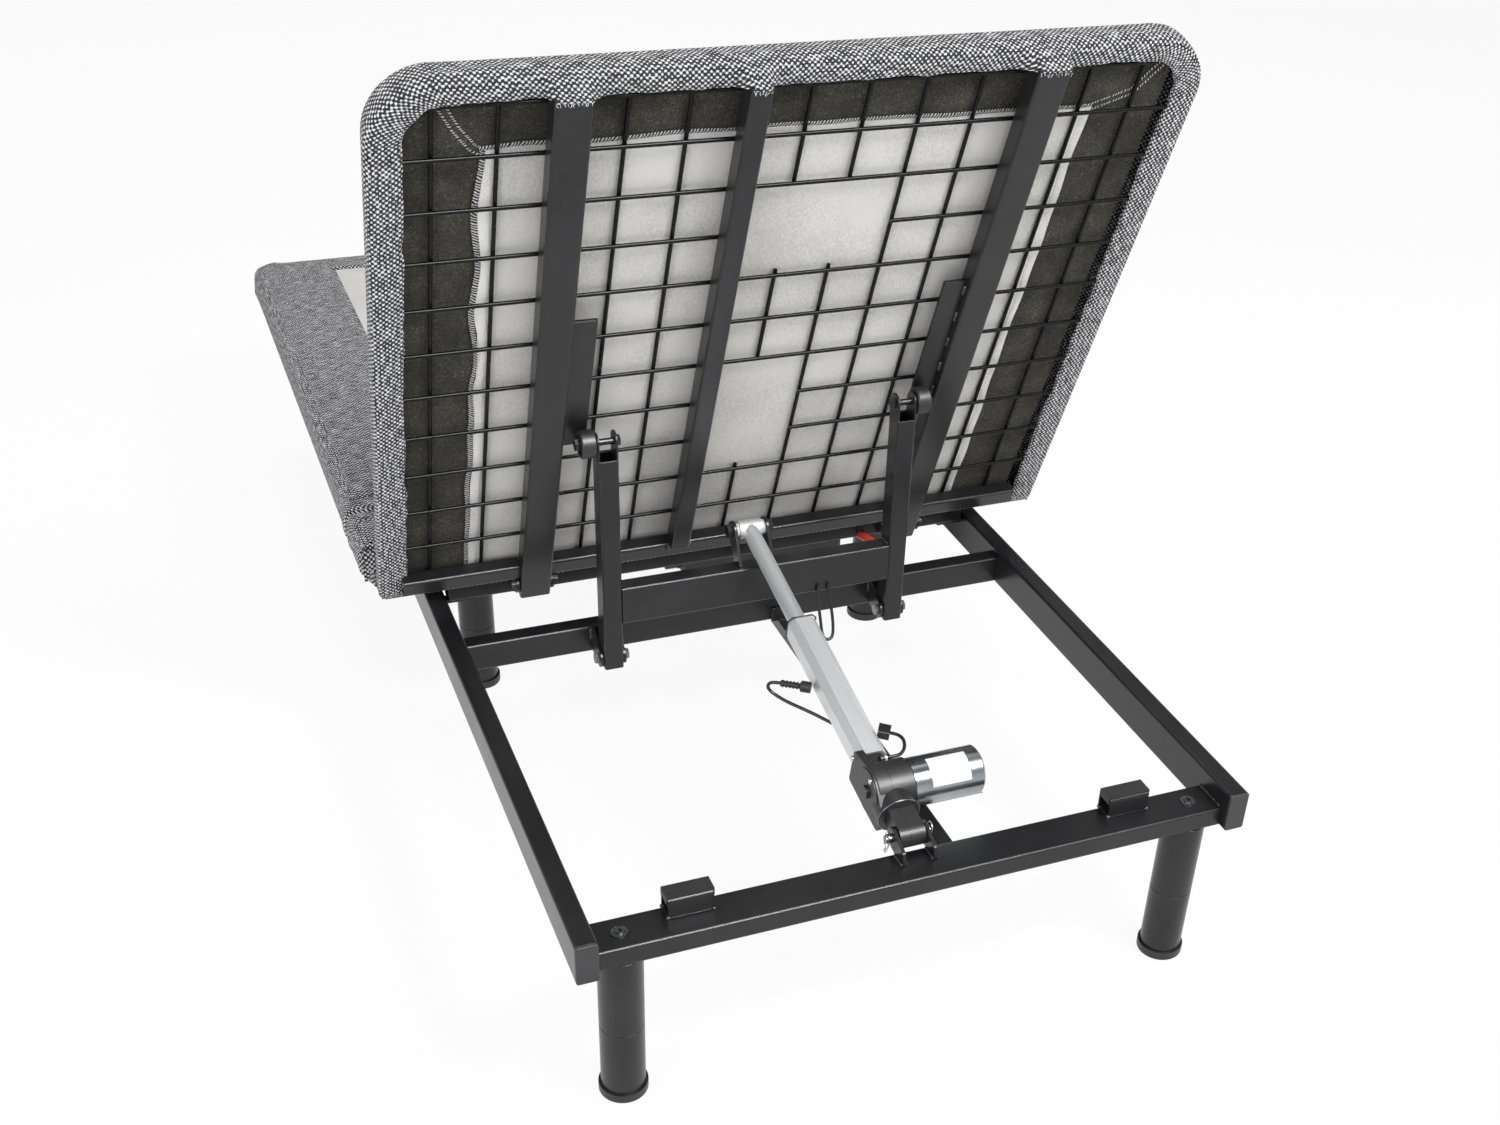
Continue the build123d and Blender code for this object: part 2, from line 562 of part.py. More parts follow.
keep("panel_hinge_plates", *hinge_plates(HEAD_HINGE_Y, SEAT_FRONT_Y[0]),
     *hinge_plates(LEG_HINGE_Y, SEAT_REAR_Y[1]))
arm_pivots = arm_bolts() + [rear_pin()]
leg_nuts = [spot * Pos(0, 0, CROSS_TOP) * leg_nut() for spot in leg_spots]
keep("frame_bolts", *leg_nuts, *arm_pivots, *[turned_round(bolt) for bolt in arm_pivots],
     *hinge_bolts(HEAD_HINGE_Y), *hinge_bolts(LEG_HINGE_Y))

CONTROL_X = (-40.0, 200.0)
CONTROL_Y = (745.0, 815.0)
CONTROL_Z = (206.0, SEAT_TUBE_LOW - 2)


def control_box():
    """Moulded box hung under the seat frame by two strips."""
    box = block(CONTROL_X, CONTROL_Y, CONTROL_Z)
    box = fillet(box.edges().filter_by(Axis.Z), 8)
    box = fillet(box.faces().sort_by(Axis.Z)[0].edges(), 3)
    for x in (CONTROL_X[0] + 25, CONTROL_X[1] - 25):
        strip = block((x - 10, x + 10), (SEAT_FRONT_Y[0] + 3, SEAT_REAR_Y[1] - 3),
                      (SEAT_TUBE_LOW - 3, SEAT_TUBE_LOW))
        box += strip
    return box


keep("control_box", control_box())


# Wire grids: rows lie on the tubes, columns lie on the rows
COLUMN_COUNT = 13
ROW_HALF = 447.0
END_ROW_HALF = 411.0
WIRE_TAIL = 4.0
MID_X = 70.0


def wire(start, end):
    """Round wire between two points."""
    length = (Vector(*end) - Vector(*start)).length
    return Plane(origin=start, z_dir=Vector(*end) - Vector(*start)) * extrude(Circle(WIRE / 2), length)


def column_wire(u, low, high):
    return wire((u, low, COLUMN_HEIGHT), (u, high, COLUMN_HEIGHT))


def row_wire(s, low, high):
    return wire((low, s, ROW_HEIGHT), (high, s, ROW_HEIGHT))


def wire_grid(rows, low, high, gear_window, eye_window):
    """Welded grid in panel places: u across and s away from the hinge.
    gear_window is the row below the gap over the gear housing, two rows high.
    eye_window is the row below the gap over the rod's eye, three rows high."""
    pieces = []
    gear_low = rows[gear_window] + WIRE_TAIL
    gear_high = rows[gear_window + 2] - WIRE_TAIL
    eye_low = rows[eye_window] + WIRE_TAIL
    eye_high = rows[eye_window + 3] - WIRE_TAIL
    for k in range(COLUMN_COUNT):
        place = k - COLUMN_COUNT // 2
        stretches = [low, high]
        if place in (-1, 0):
            stretches[1:1] = [gear_low, gear_high]
        if place == 0:
            stretches[1:1] = [eye_low, eye_high]
        for a, b in zip(stretches[::2], stretches[1::2]):
            pieces.append(column_wire(place * WIRE_PITCH, a, b))
    for index, s in enumerate(rows):
        stop = None
        if index == gear_window + 1:
            stop = -2 * WIRE_PITCH + WIRE_TAIL
        if index in (eye_window + 1, eye_window + 2):
            stop = -WIRE_PITCH + WIRE_TAIL
        half = END_ROW_HALF if index == len(rows) - 1 else ROW_HALF
        if stop is None:
            pieces.append(row_wire(s, -half, half))
        else:
            pieces.append(row_wire(s, -ROW_HALF, stop))
            pieces.append(row_wire(s, MID_X - WIRE_TAIL, ROW_HALF))
    return pieces


# Upholstered pads: board and foam in a fabric wrap that turns under the edge
PAD_CORNER = 75.0
HINGE_CORNER = 22.0
PAD_EDGE = 16.0
PAD_UNDER = 6.0
SIDE_RIM = 33.0
END_RIM = 26.0
RECESS_CORNER = 48.0


def pad_slab(s_low, s_high, corner_low, corner_high):
    """Closed pad with rolled edges, between two places along the bed."""
    outline = Pos(0, (s_low + s_high) / 2) * Rectangle(DECK_WIDTH, s_high - s_low)
    outline = fillet(outline.vertices().group_by(Axis.Y)[-1], corner_high)
    outline = fillet(outline.vertices().group_by(Axis.Y)[0], corner_low)
    pad = Pos(0, 0, PAD_LOW) * extrude(outline, PAD_TOP - PAD_LOW)
    pad = fillet(pad.faces().sort_by(Axis.Z)[-1].edges(), PAD_EDGE)
    return fillet(pad.faces().sort_by(Axis.Z)[0].edges(), PAD_UNDER)


def panel_pad(s_low, length):
    """Pad of a folding panel. Its rim hangs round the wires on three sides and is open at the hinge."""
    pad = pad_slab(s_low, length, HINGE_CORNER, PAD_CORNER)
    recess_low = s_low - 1
    recess_high = length - END_RIM
    recess = Pos(0, (recess_low + recess_high) / 2) * Rectangle(
        DECK_WIDTH - 2 * SIDE_RIM, recess_high - recess_low)
    recess = fillet(recess.vertices().group_by(Axis.Y)[-1], RECESS_CORNER)
    return pad - Pos(0, 0, PAD_LOW - 1) * extrude(recess, BOARD_LOW - PAD_LOW + 1)


# Folding panels, drawn flat in panel places: u across, s away from the hinge, h above the hinge line
TONGUE = -15.5
BAR = 25.0
BAR_S = 25.0
BAR_DEPTH = 19.6
BAR_MID_H = 7.6
FOOT_PLATE = (17.0, 9.0, 3.0)
BAR_HALF = 436.0
TRACK_U = (215.0, 245.0)
HEAD_LENGTH = 776.5
HEAD_ROW = 87.05
HEAD_ROWS = 10
HEAD_TRACK = (261.5, 461.5)
LEG_LENGTH = FOOT_END - LEG_HINGE_Y
LEG_ROW = 77.3
LEG_ROWS = 13
LEG_TRACK = (385.0, 650.0)
HEAD_PAD_LOW = -7.5
LEG_PAD_LOW = 8.0


def main_tube(u, length):
    """Flat tube whose square-cut end is the tongue of the hinge."""
    tube = tube_y(TONGUE, length, u, TUBE_LOW + TUBE_DEPTH / 2, MAIN_WIDTH, TUBE_DEPTH)
    return tube - pin_x(u - MAIN_WIDTH, u + MAIN_WIDTH, 0, 0, HINGE_BOLT_R + RUNNING)


def bottom_bar():
    """Bar near the hinge, in three lengths between and outside the main tubes."""
    inner = MAIN_X - MAIN_WIDTH / 2
    outer = MAIN_X + MAIN_WIDTH / 2
    spans = [(-BAR_HALF, -outer), (-inner, inner), (outer, BAR_HALF)]
    return [tube_x(low, high, BAR_S, BAR_MID_H, BAR, BAR_DEPTH) for low, high in spans]


def track_plate(side, span):
    u = sorted((side * TRACK_U[0], side * TRACK_U[1]))
    return block(u, span, (-TRACK_DROP, PLATE - TRACK_DROP))


def folding_panel(prefix, length, pad_low, rows, windows, track, placed):
    """Make the pieces of one panel and place them. The sides are named as they lie on the bed."""
    tube_end = length - 12
    right = placed(main_tube(MAIN_X, tube_end))
    left = placed(main_tube(-MAIN_X, tube_end))
    if right.center().X < 0:
        left, right = right, left
    keep(prefix + "_main_tube_left", left)
    keep(prefix + "_main_tube_right", right)
    mid = tube_y(BAR_S + BAR / 2, tube_end, MID_X, TUBE_LOW + TUBE_DEPTH / 2, BAR, TUBE_DEPTH)
    bar_low = BAR_MID_H - BAR_DEPTH / 2
    bar_high = BAR_S + BAR / 2
    foot = block((MID_X - FOOT_PLATE[0], MID_X + FOOT_PLATE[0]), (bar_high - FOOT_PLATE[1], bar_high),
                 (bar_low - FOOT_PLATE[2], bar_low))
    keep(prefix + "_mid_tube", placed(mid), placed(foot))
    keep(prefix + "_bottom_bar", *[placed(bar) for bar in bottom_bar()])
    keep(prefix + "_track_plates", placed(track_plate(-1, track)), placed(track_plate(1, track)))
    grid = wire_grid(rows, BAR_S - BAR / 2 + 1, length - END_RIM - 2, *windows)
    keep(prefix + "_wire_grid", *[placed(piece) for piece in grid])
    keep(prefix + "_pad", placed(panel_pad(pad_low, length)))


def on_head(shape):
    return Pos(0, HEAD_HINGE_Y, HINGE_HEIGHT) * Rot(-HEAD_REST_ANGLE, 0, 0) * Rot(0, 0, 180) * shape


def on_legs(shape):
    return Pos(0, LEG_HINGE_Y, HINGE_HEIGHT) * Rot(LEG_REST_ANGLE, 0, 0) * shape


def row_places(first, count, length):
    return [first + WIRE_PITCH * index for index in range(count)] + [length - END_RIM - 4]


folding_panel("head", HEAD_LENGTH, HEAD_PAD_LOW, row_places(HEAD_ROW, HEAD_ROWS, HEAD_LENGTH), (6, 1),
              HEAD_TRACK, on_head)
folding_panel("leg", LEG_LENGTH, LEG_PAD_LOW, row_places(LEG_ROW, LEG_ROWS, LEG_LENGTH), (9, 4),
              LEG_TRACK, on_legs)

# Seat pad and the short wires under it
seat_place = Pos(0, 0, HINGE_HEIGHT)
seat_pad = pad_slab(*SEAT_PAD_Y, HINGE_CORNER, HINGE_CORNER)
seat_recess = block((-DECK_WIDTH / 2 + SIDE_RIM, DECK_WIDTH / 2 - SIDE_RIM),
                    (SEAT_PAD_Y[0] - 1, SEAT_PAD_Y[1] + 1), (PAD_LOW - 1, BOARD_LOW))
keep("seat_pad", seat_place * (seat_pad - seat_recess))
seat_wire_y = (SEAT_PAD_Y[0] + 3, SEAT_PAD_Y[1] - 2)
seat_wires = [column_wire((k - COLUMN_COUNT // 2) * WIRE_PITCH, *seat_wire_y) for k in range(COLUMN_COUNT)]
seat_wires += [row_wire(y, -ROW_HALF, ROW_HALF) for y in RISER_Y]
keep("seat_wire_grid", *[seat_place * piece for piece in seat_wires])

# Leads of the head unit: the motor's lead, its connector, the lead under the tube to a ribbed plug, and a loop
# tied to the crossbar
LEAD_D = 4.2
MOTOR_LEAD = [(9.6, 98.3, 20), (17, 98.3, 20), (27.5, 98.5, 19.8), (36, 106, 18.3), (42, 117, 15.8),
              (44.5, 128.5, 12.8), (41.5, 138.2, 10), (35.5, 142.8, 8.7)]
DRIVE_LEAD = [(25.6, 149.5, 1.9), (25.6, 152, -7), (24, 160, -17.5), (16, 174, -25.5), (3, 192, -28),
              (-12, 209, -27), (-26, 226, -26.5), (-38, 240, -27), (-50, 256, -29), (-58.5, 268.5, -28.5),
              (-64.5, 274.8, -25), (-66.8, 276.7, -18.6), (-64.4, 275, -12.2), (-59, 271.4, -9.8),
              (-54.2, 268.2, -9.03)]
CONNECTOR = ((35.2, 143, 8.6), (22.8, 150.5, 8.6))
CONNECTOR_SIZE = (17.0, 12.0)
CROSSBAR_LEAD = [(83, -17.5, 66), (82, -20, 50), (82.5, -25, 32), (83.5, -30.5, 14), (84.5, -34, -1),
                 (87.5, -36.2, -8), (93, -37, -10.5), (98.5, -36, -8), (101, -33, -1), (101.5, -29, 14),
                 (100.5, -23.5, 32), (98.5, -19.5, 50), (97, -17.5, 66)]
PLUG_START = (-54, 268, -9)
PLUG_END = (-23.4, 247.6, -4.4)


def lead(points):
    """Round lead along straight runs joined by arcs as large as the runs allow."""
    spots = [Vector(*point) for point in points]
    radii = []
    for before, here, after in zip(spots, spots[1:], spots[2:]):
        run_in = here - before
        run_out = after - here
        half_turn = math.radians(run_in.get_angle(run_out)) / 2
        radii.append(0.45 * min(run_in.length, run_out.length) / math.tan(half_turn))
    path = FilletPolyline(*spots, radius=radii)
    start = Plane(origin=path @ 0, z_dir=path % 0)
    tube = sweep(start * Circle(LEAD_D / 2), path)
    expected = path.length * math.pi * LEAD_D ** 2 / 4
    print("lead length %.0f, volume ratio %.3f, radii" % (path.length, tube.volume / expected),
          [round(radius, 1) for radius in radii])
    return tube


def ribbed_plug():
    """Moulded plug: a ribbed strain relief and a wider head that meets the drive tube's side."""
    axis = Vector(*PLUG_END) - Vector(*PLUG_START)
    length = axis.length
    profile = [(0, 0), (3.6, 0)]
    for rib in range(5):
        y = 2 + rib * 4.4
        profile += [(4.4, y), (4.4, y + 2.2), (3.4, y + 2.6), (3.4, y + 4.0)]
    profile += [(7.0, 25.5), (7.0, length), (0, length)]
    body = revolve(Plane.XZ * make_face(Polyline(*profile, close=True)), Axis.Z)
    return Plane(origin=PLUG_START, z_dir=axis) * body


def connector():
    """Moulded block beside the tube where the motor's lead meets the lead from the control box."""
    axis = Vector(*CONNECTOR[1]) - Vector(*CONNECTOR[0])
    block_shape = extrude(RectangleRounded(*CONNECTOR_SIZE, 2.5), axis.length)
    return Plane(origin=CONNECTOR[0], x_dir=axis.cross(Vector(0, 0, 1)), z_dir=axis) * block_shape


head_stand = Pos(0, *ARM_PIVOT) * Rot(HEAD_ARM_ANGLE - 90.0, 0, 0)
keep("motor_lead", head_drive_place * lead(MOTOR_LEAD))
keep("drive_lead", head_drive_place * lead(DRIVE_LEAD))
keep("lead_plugs", head_drive_place * ribbed_plug(), head_drive_place * connector())
keep("crossbar_lead", head_stand * lead(CROSSBAR_LEAD))

# Move the origin under the middle of the rest pose and write one file per piece
to_origin = Pos(0, -FOOT_END / 2, 0)
os.makedirs("parts", exist_ok=True)
for name, solids in nodes.items():
    export_step(Compound([to_origin * solid for solid in solids]), "parts/" + name + ".step")
print(len(nodes), "pieces written")
print("head arm angle %.3f, leg arm angle %.3f" % (HEAD_ARM_ANGLE, LEG_ARM_ANGLE))
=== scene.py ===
# %% [markdown]
# # A motorised bed base, seen from the head end
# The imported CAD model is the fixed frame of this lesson: tubes, wires, arms and actuators are already in
# place. Blender adds what the eye needs: finishes, upholstery, leads, welds and small fittings. The frame
# is loaded first, because every later piece takes its place from it.

# %% Load the frame
import json
import math
import random

import bmesh
import bpy
from mathutils import Matrix, Vector, noise


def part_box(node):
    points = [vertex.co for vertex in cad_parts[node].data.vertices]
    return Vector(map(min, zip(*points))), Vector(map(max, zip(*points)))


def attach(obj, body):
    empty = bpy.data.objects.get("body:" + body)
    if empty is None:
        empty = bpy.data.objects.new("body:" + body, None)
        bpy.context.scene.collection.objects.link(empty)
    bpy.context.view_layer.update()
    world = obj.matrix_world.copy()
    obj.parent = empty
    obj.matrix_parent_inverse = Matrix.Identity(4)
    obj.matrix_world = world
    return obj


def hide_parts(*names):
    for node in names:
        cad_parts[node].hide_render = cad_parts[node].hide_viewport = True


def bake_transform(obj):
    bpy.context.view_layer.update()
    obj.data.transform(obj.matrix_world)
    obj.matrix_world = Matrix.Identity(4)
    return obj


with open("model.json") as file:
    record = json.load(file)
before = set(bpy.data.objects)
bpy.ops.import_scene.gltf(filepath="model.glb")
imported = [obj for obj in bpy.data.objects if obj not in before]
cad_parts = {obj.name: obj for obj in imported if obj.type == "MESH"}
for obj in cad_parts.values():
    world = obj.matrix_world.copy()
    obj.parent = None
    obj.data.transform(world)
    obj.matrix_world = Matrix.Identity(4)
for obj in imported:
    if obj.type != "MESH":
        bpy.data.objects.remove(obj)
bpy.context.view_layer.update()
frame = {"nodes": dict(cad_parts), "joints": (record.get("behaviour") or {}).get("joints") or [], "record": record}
joints = {joint["name"]: joint for joint in frame["joints"]}
MM = 0.001
random.seed(7)

# %% [markdown]
# The places on a panel are counted from its hinge: x across the bed, s along the panel away from the
# hinge, h above the hinge line. One function for each panel turns such a place into a point of the scene.
# The head panel stands folded up at rest, so its function turns by the fold angle in the record.

# %% Places on the panels
HEAD_HINGE = Vector(joints["head_fold"]["pos_m"])
LEG_HINGE = Vector(joints["leg_fold"]["pos_m"])
HEAD_FOLD = math.radians(joints["head_fold"]["range_deg"][1])
HEAD_ALONG = Vector((0, -math.cos(HEAD_FOLD), math.sin(HEAD_FOLD)))
HEAD_UP = Vector((0, math.sin(HEAD_FOLD), math.cos(HEAD_FOLD)))
HEAD_LENGTH = 0.7765
LEG_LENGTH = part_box("leg_pad")[1].y - LEG_HINGE.y


def on_head(x, s, h):
    return Vector((x, HEAD_HINGE.y, HEAD_HINGE.z)) + HEAD_ALONG * s + HEAD_UP * h


def on_leg(x, s, h):
    return Vector((x, LEG_HINGE.y + s, LEG_HINGE.z + h))


print("head panel %.4f m, leg panel %.4f m" % (HEAD_LENGTH, LEG_LENGTH))

# %% [markdown]
# The camera stands where the photo was taken from, to the left of the head end and above the panel. Its
# place and turn were solved from the straight edges of the frame, so they are written as they came out: a
# yaw, a pitch and a small roll. The lens is shifted because the picture was cropped.

# %% Camera
CAMERA_PLACE = Vector((-0.7223, -2.2099, 1.4761))
CAMERA_YAW = 0.431
CAMERA_PITCH = 0.608
CAMERA_ROLL = 0.062
PICTURE_WIDTH = 1500
PICTURE_HEIGHT = 1125
FOCAL_PIXELS = 1775.5
LENS_CENTRE = (846.1, 721.0)
SENSOR = 36.0


def make_camera():
    forward = Vector((math.sin(CAMERA_YAW) * math.cos(CAMERA_PITCH),
                      math.cos(CAMERA_YAW) * math.cos(CAMERA_PITCH), -math.sin(CAMERA_PITCH)))
    right = Vector((math.cos(CAMERA_YAW), -math.sin(CAMERA_YAW), 0))
    up = right.cross(forward)
    rolled_right = math.cos(CAMERA_ROLL) * right + math.sin(CAMERA_ROLL) * up
    rolled_up = math.cos(CAMERA_ROLL) * up - math.sin(CAMERA_ROLL) * right
    lens = bpy.data.cameras.new("camera")
    lens.sensor_width = SENSOR
    lens.lens = FOCAL_PIXELS * SENSOR / PICTURE_WIDTH
    lens.shift_x = (PICTURE_WIDTH / 2 - LENS_CENTRE[0]) / PICTURE_WIDTH
    lens.shift_y = (LENS_CENTRE[1] - PICTURE_HEIGHT / 2) / PICTURE_WIDTH
    camera = bpy.data.objects.new("camera", lens)
    turn = Matrix((rolled_right, rolled_up, -forward)).transposed().to_4x4()
    camera.matrix_world = Matrix.Translation(CAMERA_PLACE) @ turn
    bpy.context.scene.collection.objects.link(camera)
    bpy.context.scene.camera = camera
    print("lens %.1f mm" % lens.lens)


make_camera()

# %% [markdown]
# A finish is a small graph of shader nodes. A few helpers are enough for all of them: one turns the usual
# sRGB hex colour into the linear numbers that the shader wants, one adds a node with its settings and
# links, and one feeds the shader itself.

# %% Helpers for finishes
def colour(code):
    """Linear colour from an sRGB hex code."""
    parts = [int(code[i:i + 2], 16) / 255 for i in (1, 3, 5)]
    return tuple(p / 12.92 if p <= 0.04045 else ((p + 0.055) / 1.055) ** 2.4 for p in parts) + (1.0,)


def join(tree, source, target):
    """Link a socket, or a node's first output, to an input."""
    tree.links.new(source.outputs[0] if isinstance(source, bpy.types.Node) else source, target)


def add_node(tree, kind, settings=None, links=None):
    """Add one node. A setting is an input's value or the node's own property; a link feeds an input."""
    node = tree.nodes.new("ShaderNode" + kind)
    for name, value in (settings or {}).items():
        if isinstance(name, int) or name in node.inputs:
            node.inputs[name].default_value = value
        elif name == "ramp":
            while len(node.color_ramp.elements) < len(value):
                node.color_ramp.elements.new(0.5)
            for element, (place, code) in zip(node.color_ramp.elements, value):
                element.position = place
                element.color = colour(code)
        else:
            setattr(node, name, value)
    for name, source in (links or {}).items():
        join(tree, source, node.inputs[name])
    return node


def new_finish(name, **sockets):
    """A material with its shader, whose constant sockets are set here."""
    finish = bpy.data.materials.new(name)
    finish.use_nodes = True
    shader = finish.node_tree.nodes["Principled BSDF"]
    for socket, value in sockets.items():
        shader.inputs[socket.replace("_", " ")].default_value = value
    return finish, finish.node_tree, shader


def feed(tree, shader, **sources):
    """Link sources to the shader's sockets."""
    for socket, source in sources.items():
        join(tree, source, shader.inputs[socket.replace("_", " ")])


def per_mm(size):
    """Texture scale for a pattern that repeats about every size millimetres."""
    return 1000.0 / size


print("mid grey in linear light %.3f" % colour("#808080")[0])

# %% [markdown]
# Most solid finishes are made alike: two close tones that wander in patches, a sheen that wanders with
# them, and a fine skin that only the bump shows. One function makes them all from sizes in millimetres,
# so that each finish below is a single line of its own values.

# %% A grained finish
def grained(name, tone, sheen=None, skin=None, stretch=(), edge=None, **sockets):
    """A finish on a two-toned noise.

    tone: its (size in mm, detail, place, dark, place, pale). sheen: its range of roughness.
    skin: the bump's (size in mm, detail, strength, depth), on the tone's own noise if size is None.
    stretch: mappings before the noise. edge: the radius that rounds sharp edges.
    """
    finish, tree, shader = new_finish(name, **sockets)
    spot = add_node(tree, "TexCoord").outputs["Object"]
    for settings in stretch:
        spot = add_node(tree, "Mapping", settings, {"Vector": spot}).outputs["Vector"]
    size, detail, low, dark, high, pale = tone
    slow = add_node(tree, "TexNoise", {"Scale": per_mm(size), "Detail": detail}, {"Vector": spot})
    ramp = [(low, dark), (high, pale)]
    feed(tree, shader, Base_Color=add_node(tree, "ValToRGB", {"ramp": ramp}, {"Fac": slow}))
    if sheen:
        reach = {"To Min": sheen[0], "To Max": sheen[1]}
        feed(tree, shader, Roughness=add_node(tree, "MapRange", reach, {"Value": slow}))
    if skin:
        size, detail, strength, depth = skin
        links = {"Height": slow}
        if size:
            fine = {"Scale": per_mm(size), "Detail": detail}
            links["Height"] = add_node(tree, "TexNoise", fine, {"Vector": spot})
        if edge:
            links["Normal"] = add_node(tree, "Bevel", {"samples": 4, "Radius": edge})
        feed(tree, shader, Normal=add_node(tree, "Bump", {"Strength": strength, "Distance": depth}, links))
    return finish


print("scale of a 2.2 mm skin %.0f" % per_mm(2.2))

# %% [markdown]
# The tubes, rails and plates are mild steel under a black powder coat. The powder melts into a film with
# a faint orange-peel skin and a low sheen, so a flat black would look dead; its rounded edges catch the
# light. The wires are dipped in enamel, smoother and darker. Bolts and the motor can are steel under zinc
# plate: pale metal with a patchy, slightly crystalline sheen.

# %% Powder coat, wire coat and plated steel
def plated_steel(name, pale, dark, grain, rough):
    return grained(name, (grain, 4.0, 0.3, dark, 0.65, pale), sheen=(rough - 0.08, rough + 0.08),
                   Metallic=1.0)


# Baked powder gives a near-black with a faint orange peel; its edges shine.
STEEL = grained("powder_coated_steel", (90, 3.0, 0.3, "#18181a", 0.7, "#212123"), sheen=(0.24, 0.34),
                skin=(2.2, 2.0, 0.12, 0.4 * MM), edge=2.2 * MM, IOR=1.5, Specular_IOR_Level=0.4)
# Dipped enamel gives a deeper, smoother black with little sheen.
WIRE = grained("enamelled_wire", (6, 2.0, 0.35, "#0b0b0c", 0.7, "#151516"), skin=(None, None, 0.1, 0.4 * MM),
               IOR=1.5, Roughness=0.26, Specular_IOR_Level=0.14)
ZINC = plated_steel("zinc_plated_can", "#a3a8ab", "#8a9094", 30, 0.22)  # a pale grey in cloudy patches
BRIGHT = plated_steel("bright_zinc_fittings", "#e4e4e2", "#b2b3b2", 3, 0.25)  # small, bright and crisp
BLACK_BOLT = plated_steel("black_zinc_bolts", "#4c4c4f", "#222224", 2, 0.36)  # dark, with a metal glint
# The frame's nuts and bolts are black, so this mid grey on them is painted highlight. On the cup's wire ring the
# same grey is the metal's own.
GREY_ZINC_AND_PAINTED_HIGHLIGHT = plated_steel("grey_zinc_ring_and_painted_highlight_nuts", "#8f9092", "#515254", 2, 0.3)  # a dull mid grey
print("steel finishes", [finish.name for finish in (STEEL, WIRE, ZINC, BRIGHT, BLACK_BOLT, GREY_ZINC_AND_PAINTED_HIGHLIGHT)])

# %% [markdown]
# The actuator's outer tube is extruded aluminium, clear anodised. The die leaves long faint lines, so the
# noise is stretched along the tube: fine across it and almost constant along it. The rod is the same
# metal, turned and polished, with lines so fine that only a soft streak is left.

# %% Aluminium
DRIVE_AXIS = Vector(joints["head_drive_slide"]["axis"]).normalized()
DRIVE_SLOPE = math.atan2(DRIVE_AXIS.z, DRIVE_AXIS.y)


def drawn_aluminium(name, pale, dark, line, rough):
    along_tube = [{"Rotation": (-DRIVE_SLOPE, 0, 0)}, {"Scale": (1.0, 0.01, 1.0)}]
    return grained(name, (line, 3.0, 0.3, dark, 0.7, pale), sheen=(rough - 0.06, rough + 0.08),
                   skin=(None, None, 0.03, 0.2 * MM), stretch=along_tube, Metallic=0.6)


TUBE_ALUMINIUM = drawn_aluminium("anodised_drive_tube", "#d9dadc", "#d2d3d6", 2.5, 0.42)  # pale satin
ROD_ALUMINIUM = drawn_aluminium("polished_push_rod", "#cfd0d2", "#c3c5c7", 1.5, 0.4)  # one soft streak
print("the actuator slopes %.1f degrees" % math.degrees(DRIVE_SLOPE))

# %% [markdown]
# The gear housing, control box and caps are moulded nylon or ABS: black, with a fine spark-eroded grain
# from the mould. The real grain is about a tenth of a millimetre, too fine to show, so it is drawn
# coarser. Rubber and the cable sheath are duller. White acetal is used for the small bushes at the rod's
# eye. Yarn, label paper and coated weld beads have the same make of grain, so they are mixed here too. A
# weld bead is lumpy and shiny under the coat. Its tone, paler than the coated steel's, is painted
# highlight.

# %% Moulded plastics, rubber, yarn and weld
def moulded(name, dark, pale, grain, rough, depth):
    return grained(name, (35, 2.0, 0.35, dark, 0.65, pale), sheen=(rough - 0.06, rough + 0.06),
                   skin=(grain, 3.0, depth, 0.3 * MM), IOR=1.5)


NYLON = moulded("moulded_black_nylon", "#1c1c1e", "#252527", 0.8, 0.42, 0.15)  # a soft, even black
CAP_PLASTIC = moulded("moulded_cap_plastic", "#2b2b2d", "#333335", 0.7, 0.46, 0.15)  # a paler, matt black
RUBBER = moulded("black_rubber", "#161617", "#1e1e20", 1.2, 0.55, 0.2)  # dull black
SHEATH = moulded("cable_sheath", "#0f0f10", "#181819", 1.0, 0.38, 0.1)  # black with a soft highlight
ACETAL = moulded("white_acetal", "#e0e0dd", "#eeeeec", 1.0, 0.55, 0.05)  # milky white
RED_SLEEVE = moulded("red_cable_sleeve", "#c23a26", "#dd4a33", 2.0, 0.4, 0.1)  # plain red, a little glossy
PAPER = moulded("bare_label_paper", "#dededd", "#ebebea", 1.0, 0.6, 0.05)  # flat off-white
YARN_DARK = moulded("black_yarn", "#1a1a1c", "#2a2a2d", 1.0, 0.8, 0.2)  # dull black fibre
YARN_PALE = moulded("pale_yarn", "#b9b9bc", "#dcdcde", 1.0, 0.8, 0.2)  # dull pale fibre
# Weld beads wear the steel's black coat. Their gloss is real, and their paler tone is painted highlight.
WELD_WITH_PAINTED_HIGHLIGHT = moulded("coated_weld_painted_highlight", "#2a2a2c", "#3a3a3c", 3.0, 0.24, 0.5)  # lumpy and glossy
print("finishes so far", len(bpy.data.materials))

# %% [markdown]
# The upholstery is a basket weave of black and pale yarn. Where one yarn passes over the other the eye
# sees a pale or a dark bead, so the pattern is the product of two sine waves: its sign says which yarn is
# on top, its size gives the rounded bead for the bump. The real beads repeat every 5 mm; they are drawn a
# touch larger so that they survive at the size of the render. Streaks along the yarn give the melange
# that shows from further away.

# %% Woven upholstery
BEAD_REPEAT = 6.4
BEAD_WANDER = 2.6 * MM
STREAK = 0.24


